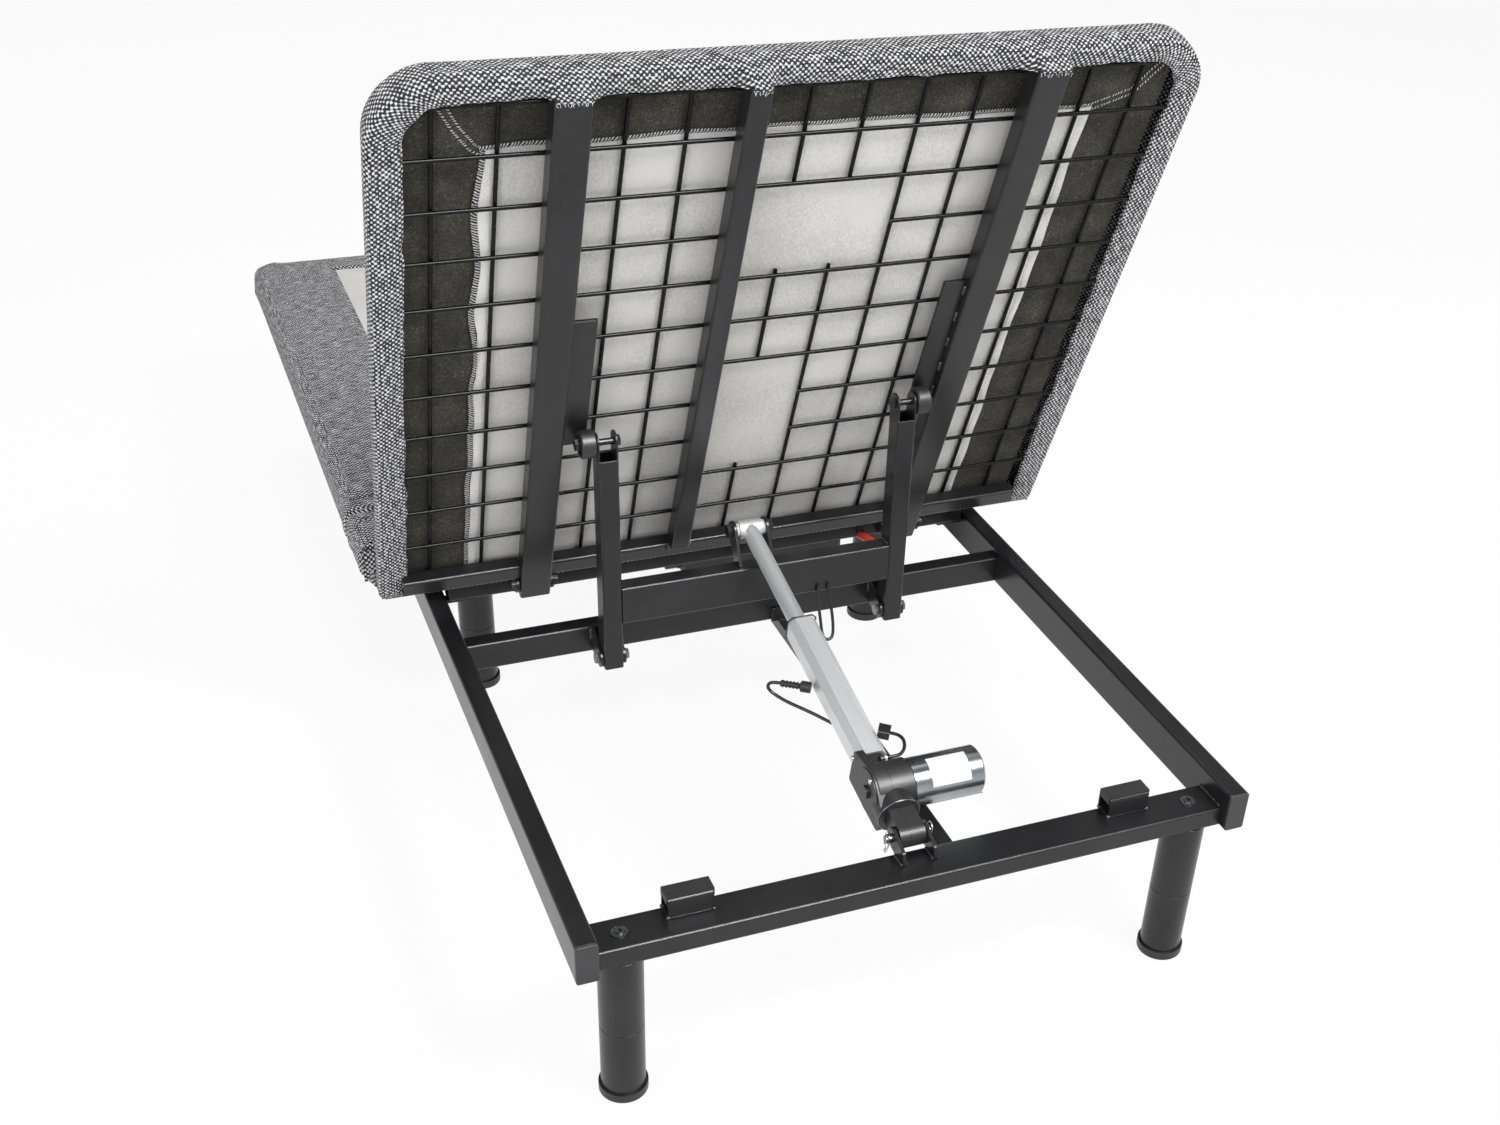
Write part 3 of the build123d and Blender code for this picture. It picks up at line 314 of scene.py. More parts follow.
def woven_fabric():
    finish, tree, shader = new_finish("basket_weave_upholstery", Roughness=0.85, IOR=1.45,
                                      Specular_IOR_Level=0.15, Sheen_Weight=0.08, Sheen_Roughness=0.5)
    thread = add_node(tree, "UVMap", {"uv_map": "thread"})
    wander = add_node(tree, "TexNoise", {"Scale": per_mm(9), "Detail": 2.0}, {"Vector": thread})
    shift = add_node(tree, "VectorMath", {"operation": "SCALE", "Scale": BEAD_WANDER},
                     {0: wander.outputs["Color"]})
    moved = add_node(tree, "VectorMath", {"operation": "ADD"}, {0: thread, 1: shift})
    axes = add_node(tree, "SeparateXYZ", {}, {"Vector": moved})
    waves = []
    for axis in ("X", "Y"):
        phase = add_node(tree, "Math", {"operation": "MULTIPLY", 1: 2 * math.pi * per_mm(BEAD_REPEAT)},
                         {0: axes.outputs[axis]})
        waves.append(add_node(tree, "Math", {"operation": "SINE"}, {0: phase}))
    over = add_node(tree, "Math", {"operation": "MULTIPLY"}, {0: waves[0], 1: waves[1]})
    half = add_node(tree, "Math", {"operation": "MULTIPLY_ADD", 1: 0.5, 2: 0.5}, {0: over})
    along = add_node(tree, "Mapping", {"Scale": (0.17, 1.0, 1.0)}, {"Vector": thread})
    streak = add_node(tree, "TexNoise", {"Scale": per_mm(3), "Detail": 2.0, "Roughness": 0.5},
                      {"Vector": along})
    slub = add_node(tree, "MapRange", {"From Min": 0.3, "From Max": 0.7, "To Min": -STREAK, "To Max": STREAK},
                    {"Value": streak})
    mixed = add_node(tree, "Math", {"operation": "ADD"}, {0: half, 1: slub})
    yarn = add_node(tree, "ValToRGB", {"ramp": [(0.1, "#303034"), (0.42, "#121214"), (0.58, "#78787d"),
                                                (0.86, "#dadadd")]}, {"Fac": mixed})
    bead = add_node(tree, "Math", {"operation": "ABSOLUTE"}, {0: over})
    bump = add_node(tree, "Bump", {"Strength": 0.55, "Distance": 1.2 * MM}, {"Height": bead})
    feed(tree, shader, Base_Color=yarn, Normal=bump)
    return finish


WEAVE = woven_fabric()
print(WEAVE.name, len(WEAVE.node_tree.nodes), "nodes")

# %% [markdown]
# Underneath, the border of the cover is backed with needled felt: charcoal fibre with paler hairs caught
# in it. The centre of the deck is a pale cloth, plain on top and slightly brushed below. Both are matt,
# with a colour that wanders in patches, so two or three scales of noise do most of the work. The raw
# edges are overlocked.

# %% Felt, pale cloth and stitching
def felt_backing():
    """Charcoal fibre flecked with paler hairs, drawn far coarser than real ones so that they show."""
    finish, tree, shader = new_finish("needled_felt_backing", Roughness=0.95, IOR=1.4)
    spot = add_node(tree, "TexCoord").outputs["Object"]
    patch = add_node(tree, "TexNoise", {"Scale": per_mm(45), "Detail": 4.0}, {"Vector": spot})
    hair = add_node(tree, "TexNoise",
                    {"Scale": per_mm(2.6), "Detail": 6.0, "Roughness": 0.75, "Distortion": 1.5},
                    {"Vector": spot})
    fibre = add_node(tree, "ValToRGB", {"ramp": [(0.36, "#24241f"), (0.54, "#3d3c34"), (0.7, "#837e6e")]},
                     {"Fac": hair})
    shade = add_node(tree, "ValToRGB", {"ramp": [(0.35, "#b0b0b0"), (0.7, "#ffffff")]}, {"Fac": patch})
    tone = add_node(tree, "Mix", {"data_type": "RGBA", "blend_type": "MULTIPLY", 0: 1.0},
                    {6: fibre, 7: shade})
    bump = add_node(tree, "Bump", {"Strength": 0.5, "Distance": 1.2 * MM}, {"Height": hair})
    feed(tree, shader, Base_Color=tone.outputs[2], Normal=bump)
    return finish


def pale_cloth(name, dark, pale, thread_mm):
    """Plain matt cloth. Its thread is drawn a little coarser than the real one."""
    finish, tree, shader = new_finish(name, Roughness=0.9, IOR=1.4)
    spot = add_node(tree, "TexCoord").outputs["Object"]
    patch = add_node(tree, "TexNoise", {"Scale": per_mm(140), "Detail": 4.0}, {"Vector": spot})
    slant = add_node(tree, "Mapping", {"Rotation": (0.3, 0.4, 0.7), "Scale": (1.0, 0.5, 0.5)},
                     {"Vector": spot})
    twill = add_node(tree, "TexNoise", {"Scale": per_mm(thread_mm), "Detail": 3.0}, {"Vector": slant})
    both = add_node(tree, "Math", {"operation": "MULTIPLY_ADD", 1: 0.9}, {0: twill, 2: patch})
    tone = add_node(tree, "ValToRGB", {"ramp": [(0.7, dark), (1.0, pale)]}, {"Fac": both})
    bump = add_node(tree, "Bump", {"Strength": 0.35, "Distance": 0.6 * MM}, {"Height": twill})
    feed(tree, shader, Base_Color=tone, Normal=bump)
    return finish


def overlock():
    """Black and white threads looped over a raw edge, one loop about every 3 mm along it."""
    finish, tree, shader = new_finish("overlock_stitching", Roughness=0.8)
    thread = add_node(tree, "UVMap", {"uv_map": "thread"})
    slant = add_node(tree, "Mapping", {"Rotation": (0, 0, 0.5)}, {"Vector": thread})
    wave = add_node(tree, "TexWave", {"Scale": per_mm(3.2) / 10 * math.pi, "Distortion": 5.0, "Detail": 3.0},
                    {"Vector": slant}).outputs["Fac"]
    tone = add_node(tree, "ValToRGB", {"ramp": [(0.45, "#19191a"), (0.9, "#bdbdbb")]}, {"Fac": wave})
    bump = add_node(tree, "Bump", {"Strength": 0.6, "Distance": 0.8 * MM}, {"Height": wave})
    feed(tree, shader, Base_Color=tone, Normal=bump)
    return finish


FELT = felt_backing()
UNDER_CLOTH = pale_cloth("brushed_under_cloth", "#b4b2ae", "#cac8c4", 2.0)  # mottled by its brushed nap
DECK_CLOTH = pale_cloth("plain_deck_cloth", "#c3c2be", "#cecdca", 1.4)  # flat and even
FOLD_CLOTH = pale_cloth("folded_seam_cloth", "#b4b3b0", "#d0cfcc", 1.4)  # brighter on its folds
OVERLOCK = overlock()
print("all finishes", len(bpy.data.materials))

# %% [markdown]
# Each CAD piece keeps its shape and gets its finish here. They could be dressed one by one, but the
# record names a material slot for each, so one table from slot to finish is enough. Two pieces have a
# finish of their own.

# %% Finishes of the CAD pieces
SLOT_FINISH = {"black_paint": STEEL, "black_wire": WIRE, "black_plastic": NYLON, "black_rubber": RUBBER,
               "roller_plastic": NYLON, "white_plastic": ACETAL, "aluminium": TUBE_ALUMINIUM,
               "rod_steel": ROD_ALUMINIUM, "zinc_steel": ZINC, "bolt_steel": BLACK_BOLT,
               "lead_rubber": SHEATH, "upholstery_fabric": WEAVE}
# The frame's bolts and nuts are black with bright edges. Their grey finish is painted highlight.
OWN_FINISH = {"rail_end_caps": CAP_PLASTIC, "frame_bolts": GREY_ZINC_AND_PAINTED_HIGHLIGHT}

for part in frame["record"]["subparts"]:
    finishes = frame["nodes"][part["node"]].data.materials
    finishes.clear()
    finishes.append(OWN_FINISH.get(part["node"], SLOT_FINISH[part["material_slot"]]))

# %% [markdown]
# Light comes from large soft sources, as in a product studio. The walls are white and the ceiling is
# dark, so level tops of black steel stay black, while their front edges catch the lamp above the camera
# as a thin bright line; that lamp lights no matt surface. The floor is pale. The camera sees it nearly
# white, but it keeps a soft shadow.

# %% Studio
STUDIO_LAMPS = {"key": ((1.25, -2.55, 3.1), 1.0, 80, True), "left_fill": ((-3.0, -2.0, 1.7), 2.6, 76, True),
                "deck": ((0.2, 1.0, 3.6), 3.0, 54, True), "right_fill": ((3.2, -1.4, 1.5), 2.0, 34, True),
                "edges": ((0.5, -3.0, 3.6), 1.6, 320, False)}
LAMP_AIM = Vector((0, -0.4, 0.45))
FLOOR_REACH = 14.0
FLOOR_GLOW = 0.92


def make_studio():
    scene = bpy.context.scene
    scene.view_settings.view_transform = "Standard"
    scene.world = bpy.data.worlds.new("studio")
    scene.world.use_nodes = True
    tree = scene.world.node_tree
    back = tree.nodes["Background"]
    back.inputs["Color"].default_value = colour("#ffffff")
    axes = add_node(tree, "SeparateXYZ", {}, {"Vector": add_node(tree, "TexCoord").outputs["Generated"]})
    walls = add_node(tree, "MapRange", {"From Min": 0.12, "From Max": 0.5, "To Min": 0.9, "To Max": 0.2},
                     {"Value": axes.outputs["Z"]})
    path = add_node(tree, "LightPath").outputs
    seen = add_node(tree, "Math", {"operation": "MAXIMUM"},
                    {0: path["Is Camera Ray"], 1: path["Is Transmission Ray"]})
    level = add_node(tree, "MapRange", {"To Max": 1.0}, {"Value": seen, "To Min": walls})
    join(tree, level, back.inputs["Strength"])
    for name, (place, size, power, on_matt) in STUDIO_LAMPS.items():
        lamp = bpy.data.lights.new(name, "AREA")
        lamp.size = size
        lamp.energy = power
        holder = bpy.data.objects.new(name, lamp)
        turn = (LAMP_AIM - Vector(place)).to_track_quat("-Z", "Y").to_matrix().to_4x4()
        holder.matrix_world = Matrix.Translation(place) @ turn
        holder.visible_diffuse = on_matt
        scene.collection.objects.link(holder)


def make_floor():
    finish, tree, shader = new_finish("studio_floor", Roughness=0.9, Base_Color=colour("#f4f4f4"))
    path = add_node(tree, "LightPath").outputs
    mirrored = add_node(tree, "Math", {"operation": "MAXIMUM"},
                        {0: path["Is Glossy Ray"], 1: path["Is Transmission Ray"]})
    seen = add_node(tree, "Math", {"operation": "MAXIMUM"}, {0: path["Is Camera Ray"], 1: mirrored})
    white = add_node(tree, "Emission", {"Color": colour("#ffffff"), "Strength": 1.0})
    share = add_node(tree, "MapRange", {"To Min": 0.0, "To Max": FLOOR_GLOW}, {"Value": seen})
    mixed = add_node(tree, "MixShader", {}, {0: share, 1: shader, 2: white})
    join(tree, mixed, tree.nodes["Material Output"].inputs["Surface"])
    mesh = bpy.data.meshes.new("floor")
    corners = [(FLOOR_REACH * x, FLOOR_REACH * y, 0) for x, y in ((-1, -1), (1, -1), (1, 1), (-1, 1))]
    mesh.from_pydata(corners, [], [(0, 1, 2, 3)])
    mesh.materials.append(finish)
    floor = bpy.data.objects.new("floor", mesh)
    bpy.context.scene.collection.objects.link(floor)


make_studio()
make_floor()
print("lamps", len(STUDIO_LAMPS))

# %% [markdown]
# The head unit and the leg unit are the same mechanism, turned end for end. A place on an actuator is
# counted from its rear pin: across, along the tube and above it. A place on a lift arm is counted from
# its pivot: across, behind the arm and up along it. One function makes each kind of place for both units.

# %% Places on the lift units
REAR_PIN = Vector((0, -0.8255, 0.242))
LEG_AXIS = -Vector(joints["leg_drive_slide"]["axis"]).normalized()
LEG_REAR_PIN = Vector((0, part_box("actuator_ears")[1].y - 34.5 * MM, REAR_PIN.z))


def drive_places(pin, axis, turn):
    above = Vector((0, -turn * axis.z, turn * axis.y))

    def place(x, along, up):
        return pin + Vector((turn * x, 0, 0)) + axis * along + above * up
    return place


def arm_places(unit, turn):
    pivot = Vector(joints[unit + "_arm_swing"]["pos_m"])
    rise = Vector(joints[unit + "_roller_left_spin"]["pos_m"]) - pivot
    rise.x = 0
    rise.normalize()
    behind = Vector((0, turn * rise.z, -turn * rise.y))

    def place(x, back, high):
        return Vector((x, pivot.y, pivot.z)) + behind * back + rise * high
    return place


on_drive = drive_places(REAR_PIN, DRIVE_AXIS, 1)
on_leg_drive = drive_places(LEG_REAR_PIN, LEG_AXIS, -1)
on_arm = arm_places("head", 1)
on_leg_arm = arm_places("leg", -1)
print("rear pins at y %.4f and %.4f" % (REAR_PIN.y, LEG_REAR_PIN.y))

# %% [markdown]
# Leads first: their routes were settled in CAD. They could be swept as meshes, but a NURBS curve takes
# the same route points as control points and bends without corners.

# %% Leads
LEAD_DIAMETER = 4.2 * MM
MOTOR_LEAD = [(9.6, 98.3, 20), (17, 98.3, 20), (27.5, 98.5, 19.8), (36, 106, 18.3), (42, 117, 15.8),
              (44.5, 128.5, 12.8), (41.5, 138.2, 10), (35.5, 142.8, 8.7)]
DRIVE_LEAD = [(25.6, 149.5, 1.9), (25.6, 152, -7), (24, 160, -17.5), (16, 174, -25.5), (3, 192, -28),
              (-12, 209, -27), (-26, 226, -26.5), (-38, 240, -27), (-50, 256, -29), (-58.5, 268.5, -28.5),
              (-64.5, 274.8, -25), (-66.8, 276.7, -18.6), (-64.4, 275, -12.2), (-59, 271.4, -9.8),
              (-54.2, 268.2, -9.03)]
CROSSBAR_LEAD = [(83, -17.5, 66), (82, -20, 50), (82.5, -25, 32), (83.5, -30.5, 14), (84.5, -34, -1),
                 (87.5, -36.2, -8), (93, -37, -10.5), (98.5, -36, -8), (101, -33, -1), (101.5, -29, 14),
                 (100.5, -23.5, 32), (98.5, -19.5, 50), (97, -17.5, 66)]


def lead(name, route, place, node, body):
    curve = bpy.data.curves.new(name, "CURVE")
    curve.dimensions = "3D"
    curve.bevel_depth = LEAD_DIAMETER / 2
    curve.bevel_resolution = 3
    curve.resolution_u = 8
    curve.use_fill_caps = True
    spline = curve.splines.new("NURBS")
    spline.points.add(len(route) - 1)
    points = [place(*(MM * value for value in spot)) for spot in route]
    for spot, point in zip(spline.points, points):
        spot.co = (*point, 1.0)
    spline.order_u = 3
    spline.use_endpoint_u = True
    curve.materials.append(SHEATH)
    piece = bpy.data.objects.new(name, curve)
    bpy.context.scene.collection.objects.link(piece)
    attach(piece, body)
    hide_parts(node)
    print(name, len(route), "route points")
    return piece, points[0]


motor_lead, motor_exit = lead("motor_cable", MOTOR_LEAD, on_drive, "motor_lead", "head_drive")
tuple(motor_exit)
drive_lead, drive_exit = lead("drive_cable", DRIVE_LEAD, on_drive, "drive_lead", "head_drive")
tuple(drive_exit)
bar_lead, bar_exit = lead("crossbar_cable", CROSSBAR_LEAD, on_arm, "crossbar_lead", "head_lift_arm")
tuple(bar_exit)

# %% [markdown]
# A few helpers make all the small pieces. A strand is a round bar along a line of points, for yarn, wire
# and weld beads. A turned piece is a stack of rings round an axis, as from a lathe. And every mesh is
# linked in one way, so that it rides on its body and carries its finishes.

# %% Helpers for pieces
TURNED_SIDES = 24
LUMP_SIZE = 330


def link_piece(name, mesh, finishes, body):
    """Turn a mesh into a piece, and hang it on its body when it has one."""
    data = bpy.data.meshes.new(name)
    mesh.to_mesh(data)
    mesh.free()
    for finish in finishes:
        data.materials.append(finish)
    piece = bpy.data.objects.new(name, data)
    bpy.context.scene.collection.objects.link(piece)
    if body:
        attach(piece, body)
    print(name, len(data.polygons), "faces")
    return piece


def sew(mesh, rows, finish, closed):
    """Faces between neighbouring rows of points."""
    faces = []
    for near, far in zip(rows, rows[1:]):
        count = len(near)
        for i in range(count if closed else count - 1):
            k = (i + 1) % count
            face = mesh.faces.new((near[i], near[k], far[k], far[i]))
            face.material_index = finish
            face.smooth = True
            faces.append(face)
    return faces


def add_rings(mesh, rings, finish):
    """Skin over rings of points, closed at both ends."""
    for end in (list(reversed(rings[0])), rings[-1]):
        face = mesh.faces.new(end)
        face.material_index = finish
        face.smooth = True
    sew(mesh, rings, finish, True)


def ring(mesh, centre, side, other, radius, sides):
    turns = [2 * math.pi * k / sides for k in range(sides)]
    return [mesh.verts.new(centre + (side * math.cos(a) + other * math.sin(a)) * radius) for a in turns]


def add_strand(mesh, points, radius, sides, lumps, finish):
    """A round strand along points. lumps lets its thickness wander, as a weld bead's does."""
    last = len(points) - 1
    side = (points[1] - points[0]).orthogonal()
    rings = []
    for index, point in enumerate(points):
        ahead = (points[min(index + 1, last)] - points[max(index - 1, 0)]).normalized()
        side = (side - ahead * side.dot(ahead)).normalized()
        thick = radius * (1 + lumps * noise.noise(point * LUMP_SIZE))
        if lumps and index in (0, last):
            thick *= 0.45
        rings.append(ring(mesh, point, side, ahead.cross(side), thick, sides))
    add_rings(mesh, rings, finish)


def add_turned(mesh, base, axis, profile, finish):
    """A turned piece: a ring for each (radius, height) in millimetres along an axis."""
    axis = axis.normalized()
    side = axis.orthogonal().normalized()
    other = axis.cross(side)
    rings = [ring(mesh, base + axis * height * MM, side, other, radius * MM, TURNED_SIDES)
             for radius, height in profile]
    add_rings(mesh, rings, finish)


print("a turned piece has", TURNED_SIDES, "sides")

# %% [markdown]
# A panel's cover is one cloth: a deck on top, a rolled edge, a flat side and a hem that turns under and
# is stapled behind the wires. It could be modelled as a box and bevelled, but then the weave would have
# no direction. Here loops of points run round the panel, each a little further along the cloth, so that
# the weave can follow the cloth: round the rim it is measured along the edge and across it, on the deck
# it lies square to the bed.

# %% Loops round a panel
TURNS = 12
ACROSS = 97
ALONG = 79


def round_loop(half, low, high, corner_low, corner_high):
    """Points (x, s) round a rectangle with round corners, each with its outward direction."""
    corners = [(half - corner_low, low + corner_low, corner_low),
               (half - corner_high, high - corner_high, corner_high),
               (corner_high - half, high - corner_high, corner_high),
               (corner_low - half, low + corner_low, corner_low)]
    counts = (ALONG, ACROSS, ALONG, ACROSS)
    loop = []
    for index, (x, s, radius) in enumerate(corners):
        for k in range(TURNS + 1):
            angle = math.radians(90 * (index - 1) + 90 * k / TURNS)
            out_x, out_s = math.cos(angle), math.sin(angle)
            loop.append((x + radius * out_x, s + radius * out_s, out_x, out_s))
        next_x, next_s, next_radius = corners[(index + 1) % 4]
        start = Vector(loop[-1][:2])
        end = Vector((next_x + next_radius * out_x, next_s + next_radius * out_s))
        for k in range(1, counts[index]):
            spot = start.lerp(end, k / counts[index])
            loop.append((spot.x, spot.y, out_x, out_s))
    return loop


def bump_at(value, centre, half, fade):
    """1 within half of centre, easing to 0 over fade."""
    t = max(0.0, min(1.0, (half + fade - abs(value - centre)) / fade))
    return t * t * (3 - 2 * t)


def wander(x, s, waves, layer):
    """A noise over a panel, with so many waves in a metre; each use has a layer of its own."""
    return noise.noise(Vector((x * waves, s * waves, layer)))


print("points in a loop", 4 * (TURNS + 1) + 2 * (ALONG - 1) + 2 * (ACROSS - 1))

# %% [markdown]
# The hem is not straight: it is pulled in at the staples and slack between them. Where a tube ends under
# the rim, the cloth is pulled over the tube's end like a tent, and the cut edge frays. Noise along the
# rim gives the slack, and a smooth bump at each tube gives the tent. The fold of the hem is listed as
# (share of its width, height), the roll of the rim as (inset, height), both heights in millimetres above
# the panel's underside.

# %% Sizes of the covers
UNDER = 11.2 * MM
DECK_TOP = 57 * MM
SIDE_HEM = 36 * MM
END_HEM = 26 * MM
HINGE_HEM = 12 * MM
HEM_CORNER = 5 * MM
HEM_START = 6 * MM
HEM_TURN = 30 * MM
SLOW_SLACK = 3.2 * MM
FAST_SLACK = 2.2 * MM
TUBE_FACE = -13.8 * MM
TENT_HEM = 13.5 * MM
TENT_FADE = 6 * MM
INSET_HALF = 343 * MM
INSET_END = 88 * MM
LEG_INSET_END = 70 * MM
INSET_START = 18 * MM
SEAM_DIP = 1.6 * MM
ROLL_END = 16 * MM
HEM_FOLD = [(0.0, 4.5), (0.0, 0.3), (0.08, -0.6), (0.35, -1.2), (0.65, -0.9)]
ROLL = [(6, 0.0), (1.8, 1.6), (0.2, 5.4), (-0.6, 12.3), (-0.8, 19.4), (-0.4, 26.4), (0.4, 32.1), (1.6, 37.0),
        (4.7, 41.7), (10.0, 44.8), (16.0, 45.8)]
MAIN_TUBES = [(-265 * MM, 20 * MM), (265 * MM, 20 * MM)]
MID_HALF = 12.5 * MM
print("a cover is %.1f mm thick" % ((DECK_TOP - UNDER) / MM))

# %% [markdown]
# The rim is built row by row, from the hem's cut edge round to the deck. Points that staples or tubes
# hold are marked, because the simulation further down may not move them.

# %% Rim of a cover
def rim_lines(outer, hem, tubes, length):
    """For each place round the rim: the rim, its outward direction, the hem's edge and the tent's share."""
    lines = []
    for (x, s, out_x, out_s), (hem_x, hem_s, _, _) in zip(outer, hem):
        tent = 0.0
        if out_s > 0.95:
            tent = max([bump_at(x, tube, half, TENT_FADE) for tube, half in tubes], default=0.0)
        slack = wander(x, s, 18, 3.0) * SLOW_SLACK + wander(x, s, 55, 9.0) * FAST_SLACK
        edge = Vector((hem_x + out_x * slack, hem_s + out_s * slack))
        edge = edge.lerp(Vector((x, length - TENT_HEM)), tent)
        lines.append((Vector((x, s)), Vector((out_x, out_s)), edge, tent))
    return lines


def rim_rows(mesh, place, lines, held):
    """Rows of points from the hem's edge under the panel, round the rim, to the start of the deck."""
    rows = []
    for share, height in HEM_FOLD:
        row = []
        for rim, out, edge, tent in lines:
            spot = edge.lerp(rim - out * HEM_START, share)
            row.append(mesh.verts.new(place(*spot, UNDER + height * MM + (TUBE_FACE - UNDER) * tent)))
            row[-1][held] = 1
        rows.append(row)
    for inset, height in ROLL:
        row = []
        for rim, out, edge, tent in lines:
            spot = rim - out * inset * MM
            drop = tent * max(0.0, 1 - height / 5.0) * 0.6
            row.append(mesh.verts.new(place(*spot, UNDER + height * MM + (TUBE_FACE - UNDER) * drop)))
            row[-1][held] = 1 if height < 3 or tent * (height < 20) > 0 else 0
        rows.append(row)
    return rows


print("rows round the rim", len(HEM_FOLD) + len(ROLL))

# %% [markdown]
# The deck inside the rim is level. A seam at the edge of the pale cloth pulls it down a little, so the
# last row before the seam dips. The faces are then sewn row to row, and each corner of a face gets its
# place on the cloth.

# %% Deck of a cover
DECK_SHARES = (0.12, 0.3, 0.5, 0.7, 0.88, 1.0)


def deck_rows(mesh, place, lines, seam, held):
    rows = []
    for share in DECK_SHARES:
        at_seam = share == 1.0
        row = []
        for (rim, out, _, _), (seam_x, seam_s, _, _) in zip(lines, seam):
            spot = (rim - out * ROLL_END).lerp(Vector((seam_x, seam_s)), share)
            row.append(mesh.verts.new(place(*spot, DECK_TOP - (SEAM_DIP if at_seam else 0.0))))
            row[-1][held] = 1 if at_seam else 0
        rows.append(row)
    return rows


def inset_grid(mesh, place, low, high, held):
    grid = []
    for j in range(ALONG + 1):
        s = low + (high - low) * j / ALONG
        line = []
        for i in range(ACROSS + 1):
            x = -INSET_HALF + 2 * INSET_HALF * i / ACROSS
            at_seam = min(i, j, ACROSS - i, ALONG - j) == 0
            line.append(mesh.verts.new(place(x, s, DECK_TOP - (SEAM_DIP if at_seam else 0.0))))
            line[-1][held] = 1 if at_seam else 0
        grid.append(line)
    return grid


def lay_rim_threads(faces, thread, outer, rows):
    """The rim's weave is measured along the edge and across it."""
    run = [0.0]
    for a, b in zip(outer, outer[1:] + outer[:1]):
        run.append(run[-1] + math.hypot(b[0] - a[0], b[1] - a[1]))
    count = len(outer)
    across = [[0.0] * count]
    for far, near in zip(rows[::-1], rows[-2::-1]):
        across.insert(0, [gone - (b.co - a.co).length for gone, a, b in zip(across[0], far, near)])
    for index, face in enumerate(faces):
        r, i = divmod(index, count)
        k = (i + 1) % count
        marks = [(run[i], across[r][i]), (run[i + 1], across[r][k]), (run[i + 1], across[r + 1][k]),
                 (run[i], across[r + 1][i])]
        for corner, mark in zip(face.loops, marks):
            corner[thread].uv = mark


def lay_threads(faces, thread, place_back):
    """A weave that takes its place on the cloth from the point's place in the scene."""
    for face in faces:
        for corner in face.loops:
            corner[thread].uv = place_back(corner.vert.co)


print("rows on the deck", len(DECK_SHARES))

# %% [markdown]
# A cover that is only drawn looks like sheet metal. So a short cloth simulation blows it up a little from
# inside, held at the hem and at the seam, and the foam's fullness shows between them. The movement is
# capped, because a stapled cover cannot lift far.

# %% Fullness by cloth simulation
PUFF_FRAMES = 16
PUFF_LIMIT = 2.5 * MM
PUFF_PRESSURE = 4.0


def puff(piece):
    pins = [i for i, value in enumerate(piece.data.attributes["held"].data) if value.value == 1]
    piece.vertex_groups.new(name="held").add(pins, 1.0, "REPLACE")
    blow = piece.modifiers.new("fullness", "CLOTH")
    blow.settings.quality = 4
    blow.settings.mass = 0.3
    blow.settings.use_pressure = True
    blow.settings.uniform_pressure_force = PUFF_PRESSURE
    blow.settings.vertex_group_mass = "held"
    blow.settings.effector_weights.gravity = 0
    blow.collision_settings.use_collision = False
    scene = bpy.context.scene
    for step in range(1, PUFF_FRAMES + 1):
        scene.frame_set(step)
    swollen = piece.evaluated_get(bpy.context.evaluated_depsgraph_get())
    shape = [vertex.co.copy() for vertex in swollen.data.vertices]
    piece.modifiers.remove(blow)
    for vertex, target in zip(piece.data.vertices, shape):
        move = target - vertex.co
        if move.length > PUFF_LIMIT:
            move *= PUFF_LIMIT / move.length
        vertex.co += move
    scene.frame_set(1)


print("frames of simulation", PUFF_FRAMES)

# %% [markdown]
# The head, leg and seat covers are the same make in three sizes. The covers are a little narrower than
# the boards' solids in CAD, and the head's sits slightly to the right, as the photo shows.

# %% Panel and seat covers
HEAD_LOW = -7.5 * MM
HEAD_HALF = 472 * MM
HEAD_SHIFT = 8 * MM
LEG_HALF = 478 * MM
LEG_LOW = 8 * MM
FAR_CORNER = 75 * MM
HINGE_CORNER = 11 * MM
LEG_CORNER = 40 * MM
SEAT_CORNER = 10 * MM
SEAT_SEAM = 17 * MM
HEAD_MID = -70 * MM
LEG_MID = 70 * MM
HEAD_TUBES = MAIN_TUBES + [(HEAD_MID, MID_HALF)]
LEG_TUBES = MAIN_TUBES + [(LEG_MID, MID_HALF)]
SEAT_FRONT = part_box("seat_pad")[0].y
SEAT_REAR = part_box("seat_pad")[1].y


def on_head_cover(x, s, h):
    return on_head(x + HEAD_SHIFT, s, h)


def on_seat(x, s, h):
    return Vector((x, s, HEAD_HINGE.z + h))


def head_back(point):
    return (point.x, (point - HEAD_HINGE).dot(HEAD_ALONG))


def level_back(point):
    return (point.x, point.y)


